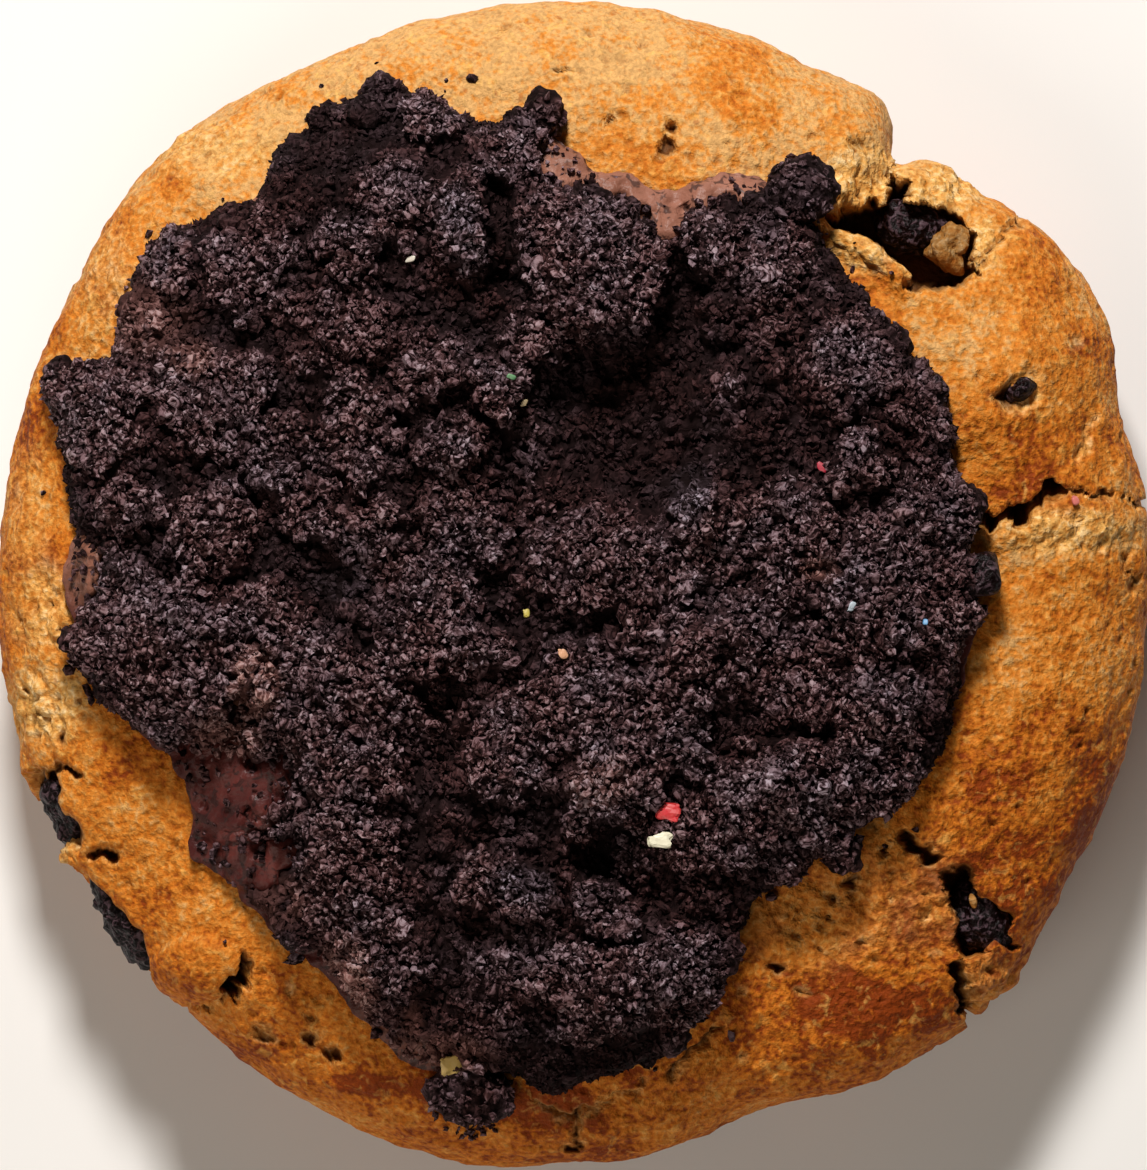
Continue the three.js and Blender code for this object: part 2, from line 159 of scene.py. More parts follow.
# Cracks of the crust: route in plan, half width at the surface, depth, and how far the floor lies aside
CRACKS = (
    (((34.8, 5.4), (37, 5.9), (39, 6.2), (40.6, 7.5), (42.4, 8.1)), 0.6, 5, (0, 1.4)),
    (((42.4, 8.1), (44.5, 7.9), (46.3, 7.6), (48.2, 7.4), (52, 7)), 0.25, 2.4, (0, 0.6)),
    (((34.6, 27.6), (36.5, 29.2), (39.3, 31.4)), 0.35, 1.6, (0, 0)),
    (((31.4, -23.9), (30.6, -23.4), (28.9, -22)), 0.6, 3, (0, 0)),
    (((33.8, -33.2), (34, -35), (34.7, -37.8), (35, -41)), 0.5, 3.5, (-0.6, 0)),
    (((-28.3, -32.9), (-28.7, -34.6), (-29.6, -35.7)), 0.6, 5, (-0.8, 0.6)),
    (((-29.6, -35.7), (-31.3, -36.5), (-34, -37)), 0.25, 2.4, (-0.3, 0.5)),
    (((6, -43.2), (5.3, -44), (3.1, -44.7), (2.1, -45.7), (0.6, -46.6)), 0.3, 1.4, (0, 0.4)),
    (((0.6, -46.6), (-1.3, -46.3), (-3.1, -45.1)), 0.3, 1.4, (0, 0.4)),
    (((0.5, -46.6), (0.4, -47.9), (-0.2, -49.4)), 0.45, 1.8, (0, 0)),
    (((12.9, -38.3), (12.1, -39.3), (10.9, -40.2), (9.8, -41.4), (8.7, -42.8)), 0.45, 1.8, (-0.3, 0.3)),
    (((48.4, 2.5), (49.4, -0.8)), 0.4, 1.5, (0, 0)),
    (((45.6, 14.7), (45, 13.4), (44.2, 10.8)), 0.35, 0.9, (0, 0)),
    (((-46.4, -15.9), (-45.2, -16.6), (-43.4, -16.1)), 0.5, 2.5, (0, 0)),
    (((-45.4, -16.6), (-45.4, -18.4)), 0.8, 3, (0, 0)),
    (((-41.2, -23.6), (-39.8, -23.3)), 0.6, 3, (0, 0)),
)

# How ragged cracks and holes are, how steep their walls are, and where they fade out down the side
CRACK_JITTER = 0.7
JITTER_LOBES = (1.7, 3)
JITTER_SEEDS = (31, 35)
JITTER_UPRIGHT = np.array([1, 1, 0.15])
CRACK_WALL = (0.6, 0.15)
HOLE_JITTER = 0.6
HOLE_WALL = (0.3, 0.3)
CUT_EDGE = 0.3
CUT_FADE = (3, 12)
UPRIGHT_CUTS = (0.2, 0.6)

# Pockets of the side, each round a chunk: place, how far below the crust's top, half sizes, turn, depth
POCKETS = (
    ((-44.6, -19.9), 3.6, (3.8, 4.6, 5.0), 25, 3.2),
    ((-39.2, -29.3), 4.2, (3.8, 6.8, 5.2), 36, 3.2),
)
POCKET_JITTER = 1.6
POCKET_LOBES = (4.5, 4)
POCKET_SEEDS = (31, 36, 42)
POCKET_WALL = (0.9, 0.3)
POCKET_LIP = 0.25

# Bulges of the crust with a crease round them: x, y, half sizes, height
BULGES = (
    (-32.6, -33.4, 4.1, 2.9, 1.4),
)

# Torn holes: outline in plan, depth
HOLES = (
    (
        (
            (22.3, 32.2), (22.6, 31.3), (24.7, 30.4), (26.5, 29.6), (27.6, 28.5), (29.3, 26.5),
            (28.8, 25.7), (31.6, 25.8), (34.4, 26.3), (35.6, 27.4), (34.4, 27.8), (35.1, 30.4),
            (33.7, 31.9), (32.6, 32.6), (30.8, 33), (28.9, 32.9), (29.3, 35.2), (27.8, 35.2),
            (27.5, 33.3), (25.6, 32.7), (23.8, 32.3),
        ),
        9,
    ),
    (
        (
            (32.3, -25.3), (33.7, -24.8), (34.7, -25.3), (35.4, -27.1), (37, -28), (37.9, -29.2),
            (37.7, -30.4), (38.9, -31.5), (37.2, -31.1), (35.8, -32), (34, -32.3), (33.4, -30.9),
            (33.7, -29.2), (33, -26.6),
        ),
        5,
    ),
)

# Round pits: x, y, radius, depth
PITS = (
    (17.7, -33.4, 0.75, 2), (22.6, -27.3, 0.6, 1.6), (22.5, -28.8, 0.5, 1.6),
    (19.6, -30.4, 0.4, 1.2), (21.8, -31.8, 0.4, 1.2), (15, -35.2, 0.4, 1.2), (25.2, -31, 0.4, 1),
    (30.8, -28.7, 0.4, 1), (24.4, -25.6, 0.8, 1.6), (27.4, -22.9, 0.6, 1.4),
    (26.2, -21.2, 0.4, 1.2), (29, -25.4, 0.4, 1), (27.9, -27.2, 0.35, 0.9), (20.2, -35.6, 0.4, 1),
    (31.8, -32.4, 0.3, 0.8), (14.8, -41.7, 0.35, 0.8), (-24.5, -35, 0.4, 1), (-23, -37.4, 0.5, 1.2),
    (-22.7, -39.4, 0.8, 1.6), (-20.7, -41.2, 1.0, 1.8), (-26.9, -39.3, 0.7, 1.2),
    (8.2, 38.3, 0.9, 1.8), (8.5, 39.8, 0.8, 1.6), (7.9, 37.2, 0.5, 1.2), (3.4, 40.5, 0.6, 1.3),
    (-0.9, 44.8, 0.5, 1.2), (20.9, 39.2, 0.5, 1), (13, 38.4, 0.35, 0.8), (-5.9, 48.6, 0.4, 0.8),
    (11.2, 46.9, 0.4, 0.8), (24.8, 38.3, 0.7, 1), (43.7, 21.3, 0.7, 0.6), (37.6, 16.4, 1.2, 1.8),
    (38.8, 16.8, 2.0, 0.7), (37.1, 23.6, 0.4, 0.8), (39.2, 31.5, 0.6, 1.5), (33, 12.9, 0.6, 1.4),
    (38.7, 6, 1.0, 6), (36.6, 5.7, 0.9, 5), (40.7, 7.3, 0.7, 5), (-47.5, -9.2, 0.5, 1.2),
    (-46.4, -11.4, 0.5, 1.2), (-43.8, -4, 0.6, 1.2), (-44.6, -13.6, 0.6, 1.6),
)

# Ridges of dough pushed up beside the tears: route, half width, height
LIPS = (
    (((21.6, 30.4), (24.4, 29.4), (26.8, 28.2), (28.7, 26.3)), 1.1, 1.4),
    (((36, 4.2), (40, 5.2), (43, 6.2), (47, 5.6)), 1.4, 0.35),
    (((33.4, -33), (35.2, -34.2), (38, -34.6)), 0.9, 0.5),
    (((33, -25.6), (33.2, -28), (33.1, -31)), 0.6, 0.5),
)

# Areas of the crust: x, y, half sizes, strength
TORN_AREAS = (
    (21, -29, 7, 4.5, 0.8), (29, -27, 5, 5, 0.6), (36.3, -34.4, 2.6, 2.2, 1.0),
    (-46, -10.5, 3.6, 3.2, 1.0), (-46, -2, 3, 4, 0.7), (42.5, 4.6, 6.5, 2, 1.0),
    (25.4, 29, 3.5, 2, 0.6), (25.3, 35.2, 3.4, 3.4, 1.0), (31.6, 34.2, 4.2, 2.4, 1.0),
    (35.6, 29.6, 1.5, 2.6, 0.9), (33, -28, 1, 4, 0.8), (-31, 38, 7, 2.5, 0.5),
    (-40.5, 23, 2.5, 8, 0.5), (-47.5, 6, 2, 6, 0.3),
)
# The wide area at 42, -22 is partly painted shade, where the crust turns away from the light
BROWN_AREAS = (
    (25.5, -37, 6, 3.2, 0.6), (27.6, -36.5, 2.2, 1.4, 0.85), (-32.6, -33.4, 4, 3, 0.26),
    (24.2, -37.4, 1.6, 1, 0.45), (42, -22, 10, 13, 0.3), (20, -38, 9, 4, 0.26),
    (-18, -43.4, 3, 1.6, 0.7), (-2.5, -45.5, 5, 3, 0.4), (13, 44, 9, 4, 0.2), (21, 41, 5, 3, 0.12),
    (37, 9.5, 6, 2.6, 0.08), (36, -1.5, 3, 3.5, 0.2), (43.7, 21.3, 1.3, 1.2, 0.3),
    (-34, -23, 3, 4, 0.2), (38, 15, 2.5, 2.2, 0.15), (-35.2, 35.9, 1.8, 1.4, 0.3),
    (-24, 42.8, 2.5, 1.2, 0.4), (-12, 43.8, 6, 1, 0.35), (-41, 25, 1.2, 1.6, 0.3),
)
PALE_AREAS = (
    (-10, 47, 20, 5, 0.7), (28.5, 35.5, 7, 4, 0.9), (-36, 28, 9, 14, 0.06), (-24, -38, 8, 5, 0.25),
    (33, 23, 5, 4, 0.4), (44, 4, 8, 3, 0.7), (-46, -9.5, 4, 5, 0.8), (43, -6, 8, 8, 0.2),
    (25.4, 28.8, 3.4, 1.6, 0.8),
)

# How brown the crust is: all over, paler to the top and darker to the bottom of the photograph, partly
# browning and partly painted light and shade, and browner at the foot
BAKED = 0.52
PALER_TO_TOP = 0.40
PALER_TO_TOP_RUN = (18, 46)
DARKER_TO_BOTTOM = 0.16
DARKER_TO_BOTTOM_RUN = (20, 46)
FOOT_BAKED = 0.3
FOOT_BAKED_RUN = (0, 9)
PALE_SHARE = 0.5
MOST_BAKED = 1.3

# Unevenness: how far up and down, size of its lumps, number of sizes from coarse to fine, and seed
SWELL = (0.5, 11, 2, 5)
SIDE_SWELL = (0.45, 6, 3, 27)
PEBBLES = (0.20, 2.6, 3, 8)
FINE_PEBBLES = (0.07, 0.9, 1, 9)
CRAGS = (0.35, 1.1, 2, 15)
PORE_PATCHES = (0.5, 7, 1, 19)
TORN_PATCHES = (0.6, 3, 1, 3)
SIDE_LINE = (2, 4, 1, 29)
BAKED_PATCHES = (0.28, 9, 3, 22)
BAKED_BEND = (1.5, 4, 3, 33)
DOUGH_LUMPS = (0.8, 2, 3, 93)
SHOWN_BEND = (1.2, 3, 3, 57)
SHOWN_PATCHES = (1, 2.6, 3, 58)
SPREAD_WAVES = (0.35, 4, 3, 51)
SPREAD_RELIEF = (0.5, 2.4, 4, 55)
CLUMP_BENDS = ((1.7, 4.0, 3, 43), (1.7, 4.0, 3, 47))
CLUMP_LUMPS = (0.35, 1.8, 2, 71)
HEAP_TONES = (0.25, 2, 1, 66)
CLUMP_TONES = (0.3, 2, 1, 66)
SHARD_WARPS = ((0.2, 1.6, 2, 101), (0.2, 1.6, 2, 104), (0.2, 1.6, 2, 107))

# Broken grains: how far apart their tops lie, height of a grain above its gaps, size and seed
CRAG_GRAIN = (0.7, 0.5, 1.7, 12)
DOUGH_GRAIN = (0.4, 0.3, 0.9, 91)
FLECK_GRAIN = (0.5, 0.3, 0.7, 96)

# Grains: height of a grain above its gaps, size and seed
HEAP_GRAINS = ((0.75, 0.95, 61), (0.25, 0.55, 64))
CLUMP_GRAINS = ((0.6, 0.95, 61), (0.25, 0.55, 64))

# The crust's side, torn crumb and pores, and painted shade in cuts and pores
SIDE_STRETCH = np.array([0.6, 0.6, 2])
SIDE_SWELL_TOP = (12, 19)
SIDE_TOP = (5, 13)
CRAG_SINK = 0.07
TORN_SMOOTHING = 0.3
TORN_PORES = 0.8
CRUST_PORES = 0.42
PORE_DEPTH = 0.9
PORE_SPACING = (2.1, 18)
PORE_PATCH_EDGE = (0.25, 0.75)
PORE_WALL = (0.12, 0.28)
COVER_EDGE = (0.97, 1.02)
SUNK_UNDER_SPREAD = 0.3
FOOT_FADE = (0, 4)
BROWN_TEAR_RUN = (14, 26)
BROWN_TEAR_SHARE = 0.8
CUT_TORN = 0.6
SHADE_DEPTHS = (0.2, 1.6)
CUT_SHADE = 0.9
PORE_SHADE = 0.8

# Fineness
COOKIE_SEGMENTS = 800
HIDDEN_SHARES = (0.4, 0.7, 0.9)
TOP_RINGS = 88
SIDE_RINGS = 26
FOOT_SHARES = (0.97, 0.85, 0.5)
HEAP_CELLS = 300
SPREAD_CELLS = 150
RIM_STEP = 0.25
CRUST_SAMPLES = 240
FINE_CRUST_UNDER_SPREAD = 3
CHUNK_SUBDIVISIONS = 5
CLUMP_SUBDIVISIONS = 4
FLECK_SUBDIVISIONS = 3
CRUMB_SUBDIVISIONS = 1

# Loose crumbs: how many of each kind, and the seed of all that falls at random
FINE_CRUMBS = 24000
COARSE_CRUMBS = 5000
RIM_CRUMBS = 4500
POOL_CRUMBS = 420
SPILT_CRUMBS = 90
CRUMB_SEED = 3

# Their smallest and largest half size, and how rare the large ones are
FINE_SIZES = (0.17, 0.36, 1)
COARSE_SIZES = (0.26, 0.66, 3)
RIM_SIZES = (0.18, 0.42, 1)
SPILT_SIZES = (0.14, 0.54, 2)

# How far their middles lie above what carries them, in half sizes
FINE_SEAT = 0.6
COARSE_SEAT = 0.3
RIM_SEAT = 0.4
SPILT_SEAT = 0.4

# Their shape, how they pile up, and their tone, with painted shade down in the gaps
CRUMB_STRETCH = (0.55, 1.6)
CRUMB_ROUGHNESS = 0.4
PILE = 0.35
PILE_TOP = 0.9
CRUMB_TONE = (0.6, 1)
GAP_TONE = 0.2
LIGHT_BESIDE_HEAP = 0.6

# Draws for one that is kept, shares missing where the spread is bare, and the share left in gaps
DRAWS = 12
POOL_DRAWS = 100
BARE_ON_HEAP = 0.8
BARE_ON_POOL = 0.75
BARE_RIM = 0.2
IN_GAPS = 0.5

# Crumbs beside the heap: where they start and end in shares of the rims, and how fast they thin out
POOL_THINNING = 5
POOL_FROM = 0.99
POOL_TO = 0.985
CLEAN_POOL = 0.9
CLEAN_POOL_RUN = (12, 26)
SPILT_FROM = 0.99
SPILT_TO = 0.96
SPILT_THINNING = 22

# The heap's rounded clumps: number, smallest and largest radius, unevenness of their height, and seed
BIG_DOMES = (150, 2.6, 6.0, 0.9, 7)
SMALL_DOMES = (900, 0.8, 2.2, 0.35, 8)
LARGE_DOME_RARITY = 2
DOME_HEIGHT = 0.5
DOME_SINK = 0.8
BIG_GAP = -1.5
SMALL_GAP = -0.6
SLAB_BEND = 0.35
MAP_REACH = 50
MAP_STEP = 0.2

# How open to the light, for painted shade: clumps and hollows from shut to open, light left in gaps, and tone
# of grains with painted shade between them
OPEN_CLUMPS = (-2.2, 0.0)
OPEN_HOLLOWS = (-4, 0)
HOLLOW_LIGHT = 0.08
GAP_LIGHT = 0.15
HEAP_TONE = 0.7
CLUMP_TONE = 0.6
GRAIN_SHADE = 0.9

# Clumps at the heap's rim: number, share of its radius, half sizes, their unevenness, and their rise
RIM_CLUMPS = 60
RIM_CLUMP_SHARE = (0.93, 1.0)
RIM_CLUMP_SIZES = (0.8, 2.0)
RIM_CLUMP_STRETCH = (0.8, 1.2)
BARE_OF_CLUMPS = 0.3
CLUMP_SEAT = 0.8

# Big clumps: place, half sizes, turn
CLUMPS = (
    ((20, 34.4), (3.2, 3, 2.8), 10),
    ((33.6, 1.2), (2.0, 2, 1.7), 0),
    ((33.2, 5.6), (2.3, 2.1, 1.8), 40),
    ((-8.9, -44.4), (4, 2.6, 2), -8),
    ((-2.4, 41), (1.8, 2.2, 1.9), 15),
    ((26.8, -18.6), (1.9, 1.6, 1.5), 30),
)

# Smooth broken pieces of dark cookie: place, half sizes, turn
SHARDS = (
    ((35.4, 0.9), (1.8, 1.9, 1.6), 8),
    ((31.6, 17.2), (0.9, 1.1, 0.9), 30),
    ((-12.5, 41.4), (1.1, 0.8, 0.7), -20),
)
SHARD_SEAT = 0.9

# Places of dust and painted sheen on the crumbs, pale bluish grey: x, y, half sizes, strength
DUST_AND_SHEEN_AREAS = (
    (10.4, 8.2, 1.8, 2.8, 1.0), (-20.5, 0.2, 3, 1.8, 0.8), (-4.6, -25.9, 3, 1.6, 0.9),
    (-10, 32, 2, 3, 0.6), (-37, 22, 4, 3, 0.5), (24, -1, 4, 3, 0.3), (2.5, -17, 3, 3, 0.5),
)

# Smears of spread on the crumbs: x, y, half sizes, strength
SMEAR_AREAS = (
    (-27.4, -8.4, 2.2, 3.2, 1.0), (-30, -13.5, 3, 2.6, 0.7), (-25.5, -27.5, 2.4, 2.4, 0.6),
    (-19.8, -35, 2.8, 4.4, 1.0), (-12.3, -40.7, 5.4, 1.8, 0.9), (-13.8, -38, 0.9, 1.7, 1.0),
    (-37.5, 23, 4.4, 3.2, 0.7), (-33.2, 19.8, 2.2, 1.8, 0.7), (21.3, 1.3, 1.7, 1.0, 1.0),
    (2.5, -17, 3, 2.4, 0.5),
)

# Pieces of chocolate in the places of their nodes: half sizes, turn, and how crumbly it is
CHUNKS = {
    "chunk_in_hole": ((3.5, 2.1, 3), -18, 0.8),
    "chip_right": ((1.6, 0.9, 1.6), 36, 0.6),
    "chunk_lower_right": ((2.6, 3.6, 2.6), 12, 1.0),
    "chunk_left_upper": ((2.2, 3.8, 3.9), 25, 1.0),
    "chunk_left_lower": ((2.2, 5.4, 3.9), 36, 1.0),
}

# Their unevenness and grains, as above, with seeds that differ from piece to piece
CHUNK_LUMPS = (0.6, 3.2, 4)
CHUNK_GRAIN = (0.3, 0.6, 1.3)
CHUNK_FINE_GRAIN = (0.3, 0.7)
CHUNK_SEED = 80
CHUNK_SEED_STEP = 5
FINE_SEED_STEP = 2

# How round a lump is: 1 is a ball, and less is more like a block
CHUNK_ROUNDNESS = 0.9
FLECK_ROUNDNESS = 0.6
SHARD_ROUNDNESS = 0.55

# Loose bits of dough: place, half sizes, turn, how far the middle lies below the crust, and how much painted
# shade it gets down in a hole
DOUGH_BITS = (
    ((33.0, 29.4), (1.7, 2.0, 1.5), 20, 2.6, 0.6),
    ((25.9, 28.7), (4.0, 0.9, 0.8), -31, -0.5, 0.0),
    ((-43.2, -23.4), (1.6, 1.3, 1.2), 20, 1.0, 0.1),
    ((35, -27.6), (0.3, 0.6, 0.2), 15, 1.9, 0.5),
    ((36.6, -29.0), (0.4, 0.7, 0.2), 35, 1.8, 0.4),
    ((35.8, -29.8), (0.35, 0.3, 0.2), 0, 1.6, 0.5),
    ((44.5, 7.3), (0.6, 0.5, 0.5), 0, 0.5, 0.0),
)
DOUGH_SEED = 1
DOUGH_TORN = 0.8
DOUGH_BAKED = 0.3

# Coloured flecks: place, half sizes, colour
FLECKS = (
    ((8.4, -19.7), (1.15, 0.85, 0.6), (0.50, 0.012, 0.018)),
    ((7.7, -22.1), (0.9, 0.6, 0.6), (0.72, 0.68, 0.50)),
    ((-10.5, -42), (1.3, 0.8, 0.7), (0.60, 0.40, 0.11)),
    ((-3.9, -2.5), (0.34, 0.5, 0.3), (0.45, 0.36, 0.06)),
    ((-0.8, -5.9), (0.36, 0.6, 0.3), (0.62, 0.32, 0.18)),
    ((21.6, 10.2), (0.42, 0.36, 0.3), (0.34, 0.008, 0.03)),
    ((30.6, -3.2), (0.24, 0.34, 0.25), (0.10, 0.28, 0.50)),
    ((24.2, -1.9), (0.26, 0.42, 0.25), (0.40, 0.46, 0.52)),
    ((-5.2, 18), (0.28, 0.22, 0.25), (0.10, 0.26, 0.12)),
    ((-4.1, 15.8), (0.32, 0.26, 0.25), (0.40, 0.30, 0.16)),
    ((-14, 28.2), (0.5, 0.3, 0.3), (0.55, 0.50, 0.42)),
    ((43.9, 7.4), (0.35, 0.3, 0.3), (0.55, 0.14, 0.12)),
)
FLECK_FLATNESS = np.array([1, 1, 0.6])
FLECK_TURN = 25
FLECK_TILT = 0.35
FLECK_LIFT = 1.35
FLECK_LIFT_BESIDE = 0.8

# Colours of the crust from its palest to its darkest (browning, partly painted light and shade), and of the
# torn crumb from painted shade in the hollows of its fine relief to its paler ridges
CRUST_COLOURS = (
    (0.0, (0.59, 0.32, 0.11)),
    (0.35, (0.59, 0.212, 0.030)),
    (0.65, (0.51, 0.142, 0.011)),
    (1.0, (0.22, 0.037, 0.004)),
)
CRUMB_COLOURS = (
    (0.3, (0.48, 0.17, 0.022)),
    (0.52, (0.70, 0.37, 0.10)),
    (0.72, (0.86, 0.61, 0.30)),
)
# Painted shade of tiny pores, in random dark spots
PORE_SPOT_SHADE_COLOUR = (0.26, 0.065, 0.008)
# Painted highlights: pale yellow spots
PAINTED_HIGHLIGHT_COLOUR = (0.74, 0.41, 0.10)
# Painted shade in cracks, holes, pits and pores
CUT_SHADE_COLOUR = (0.06, 0.013, 0.003)

# Colours of the dark crumbs from painted shade in their gaps to their open tops, whose pale lilac grey is
# partly painted highlight: plain, with dust and painted sheen, and smeared
DARK_COLOURS = (
    (0.0, (0.004, 0.0004, 0.0004)),
    (0.35, (0.055, 0.021, 0.021)),
    (0.7, (0.175, 0.096, 0.102)),
    (1.0, (0.31, 0.21, 0.22)),
)
DUST_AND_SHEEN_COLOURS = (
    (0.0, (0.004, 0.001, 0.001)),
    (0.35, (0.06, 0.038, 0.046)),
    (0.7, (0.17, 0.125, 0.15)),
    (1.0, (0.34, 0.29, 0.34)),
)
SMEAR_COLOURS = (
    (0.0, (0.030, 0.010, 0.009)),
    (0.35, (0.105, 0.043, 0.037)),
    (0.7, (0.25, 0.120, 0.105)),
    (1.0, (0.40, 0.25, 0.23)),
)

# Colours of the spread where it is thick and thin, of the crumbs in it, and of the chocolate and its paler
# spots of bloom and painted glints
THICK_COLOURS = ((0.046, 0.008, 0.007), (0.112, 0.026, 0.021))
THIN_COLOURS = ((0.21, 0.083, 0.052), (0.32, 0.137, 0.092))
SPECK_COLOUR = (0.02, 0.008, 0.007)
CHOCOLATE_COLOURS = ((0.003, 0.0006, 0.0006), (0.085, 0.050, 0.060))
FLECK_WORN_COLOUR = (0.6, 0.5, 0.4)
FLOOR_COLOURS = ((0.74, 0.73, 0.71), (0.78, 0.77, 0.75))

# Camera and light
PHOTO_PIXELS = (1147, 1170)
PHOTO_PIXELS_PER_MM = 11.41
COOKIE_MIDDLE_PIXEL = (572, 585)
CAMERA_HEIGHT = 1600
SENSOR = 36
NEAREST_SEEN = 10
FLOOR_SIZE = 3000
LIGHT_AIM = (0, 0, 20)
LIGHTS = {
    "key": ((-50, 460, 500), 120, 6.3, (1.0, 0.97, 0.94)),
    "fill": ((-200, -360, 380), 400, 1.25, (1.0, 0.91, 0.80)),
}
STUDIO_COLOUR = (1.0, 0.95, 0.90)
STUDIO_LIGHT = 0.05

# Sockets of a Mix node set to colours
MIX_INPUTS = (0, 6, 7)
MIX_RESULT = 2

# Numbers that mix a cell's place into a random one
WORD = np.uint64(0xFFFFFFFF)
SEED_STEP = 0x9E3779B1
MIXING = ((np.uint64(0x85EBCA6B), np.uint64(15)), (np.uint64(0xC2B2AE35), np.uint64(13)))
NOISE_REACH = 1.6


def wave_sum(waves, degrees):
    """Sum of an outline's waves at angles in degrees."""
    total = np.zeros_like(degrees, dtype=float)
    for at, out, before, after in waves:
        past = (degrees - at + 180) % 360 - 180
        total += out * np.exp(-((past / np.where(past < 0, before, after)) ** 2))
    return total


def mound_sum(mounds, x, y):
    """Sum of a surface's mounds at points in plan."""
    total = np.zeros_like(x, dtype=float)
    for mound_x, mound_y, up, wide in mounds:
        total += up * np.exp(-((x - mound_x) ** 2 + (y - mound_y) ** 2) / wide**2)
    return total


def degrees_of(x, y):
    return np.degrees(np.arctan2(y, x))


def smooth_step(low, high, value):
    """0 up to low, 1 from high on, and smooth between them."""
    share = np.clip((value - low) / (high - low), 0, 1)
    return share * share * (3 - 2 * share)


def fade_out(low, high, value):
    """1 up to low, 0 from high on, and smooth between them."""
    return 1 - smooth_step(low, high, value)


def table_sum(mounds, x, y):
    """Sum of flat-topped mounds with steep sides at points in plan."""
    total = np.zeros_like(x, dtype=float)
    for mound_x, mound_y, up, wide in mounds:
        total += up * fade_out(*MOUND_SIDE, np.hypot(x - mound_x, y - mound_y) / wide)
    return total


def area_sum(areas, x, y):
    """Strength of soft-edged oval areas at points in plan."""
    total = np.zeros_like(x)
    for middle_x, middle_y, half_x, half_y, strength in areas:
        away = np.hypot((x - middle_x) / half_x, (y - middle_y) / half_y)
        total = np.maximum(total, strength * fade_out(*AREA_EDGE, away))
    return total


def in_plan(x, y):
    """Points at height 0."""
    return np.stack([x, y, 0 * x], axis=1)


def unit(vectors):
    """Directions of vectors."""
    return vectors / np.maximum(np.linalg.norm(vectors, axis=-1, keepdims=True), TINY)


# Noise


def hashed(cells, seed):
    """Repeatable random numbers from 0 to 1, one for each row of whole-number cells."""
    mixed = np.full(len(cells), seed * SEED_STEP & int(WORD), dtype=np.uint64)
    for axis in range(cells.shape[1]):
        mixed ^= cells[:, axis].astype(np.int64).astype(np.uint64) & WORD
        for factor, shift in MIXING:
            mixed = mixed * factor & WORD
            mixed ^= mixed >> shift
    return mixed / 2.0**32


def lumpy(points, size, seed):
    """Smooth noise from about -1 to 1, with lumps of the given size."""
    scaled = points / size
    base = np.floor(scaled)
    part = scaled - base
    fade = part**3 * (part * (part * 6 - 15) + 10)
    total = np.zeros(len(points))
    for corner in itertools.product((0, 1), repeat=3):
        corner = np.array(corner)
        slope = np.stack([hashed(base + corner, 3 * seed + axis) for axis in range(3)], axis=1) * 2 - 1
        weight = np.prod(np.where(corner, fade, 1 - fade), axis=1)
        total += weight * np.sum(slope * (part - corner), axis=1)
    return NOISE_REACH * total


def rough(points, size, octaves, seed):
    """Noise of several sizes, each half as large and half as strong as the one before."""
    return sum(lumpy(points, size / 2**k, seed + k) / 2**k for k in range(octaves))


def uneven(points, unevenness):
    """Height of a named unevenness at points."""
    height, size, octaves, seed = unevenness
    return height * rough(points, size, octaves, seed)


def grain(points, size, seed):
    """Distance to the nearest of scattered grains in grain sizes, and that grain's number from 0 to 1."""
    scaled = points / size
    base = np.floor(scaled)
    nearest = np.full(len(points), np.inf)
    number = np.zeros(len(points))
    for step in itertools.product((-1, 0, 1), repeat=3):
        cell = base + np.array(step)
        centre = cell + np.stack([hashed(cell, 3 * seed + axis) for axis in range(3)], axis=1)
        away = np.linalg.norm(scaled - centre, axis=1)
        closer = away < nearest
        nearest[closer] = away[closer]
        number[closer] = centre[closer, 0] - cell[closer, 0]
    return nearest, number


def grainy(points, grains):
    """Height of grains of several sizes, level half a grain from their centres."""
    return sum(height * (0.5 - grain(points, size, seed)[0]) for height, size, seed in grains)


def broken(points, step, height, size, seed):
    """Height of grains whose tops lie at different heights."""
    near, number = grain(points, size, seed)
    return step * (number - 0.5) + height * (0.5 - near)


# Outlines and large forms


def edge_radius(degrees):
    return COOKIE_RADIUS + wave_sum(EDGE_WAVES, degrees)


def ragged(degrees, lobe_sizes):
    """Unevenness of a rim, with lobes of the given number of sizes."""
    angle = np.radians(np.atleast_1d(degrees))
    around = HEAP_RADIUS * np.stack([np.cos(angle), np.sin(angle), 0 * angle], axis=-1)
    lobes = rough(around.reshape(-1, 3), RIM_LOBE, lobe_sizes, RIM_SEED)
    return RIM_RAGGEDNESS * lobes.reshape(np.shape(degrees))


def heap_radius(degrees):
    """Distance from the heap's centre to its ragged rim."""
    return HEAP_RADIUS + wave_sum(HEAP_WAVES, degrees) + ragged(degrees, HEAP_LOBE_SIZES)


def spread_radius(degrees):
    """Distance from the heap's centre to the spread's calmer rim."""
    waves = wave_sum(HEAP_WAVES, degrees) + wave_sum(SPREAD_POOLS, degrees)
    return HEAP_RADIUS + SPREAD_MARGIN + waves + SPREAD_RAGGEDNESS * ragged(degrees, SPREAD_LOBE_SIZES)


def around_heap(degrees, radius):
    """Places in plan at a distance from the heap's centre."""
    angle = np.radians(degrees)
    return HEAP_CENTRE + np.stack([radius * np.cos(angle), radius * np.sin(angle)], axis=1)


def share_of(radius_at, x, y):
    """How far out points lie on the way from the heap's centre to a rim."""
    out_x = x - HEAP_CENTRE[0]
    out_y = y - HEAP_CENTRE[1]
    return np.hypot(out_x, out_y) / radius_at(degrees_of(out_x, out_y))


def heap_share(x, y):
    return share_of(heap_radius, x, y)


def spread_share(x, y):
    return share_of(spread_radius, x, y)


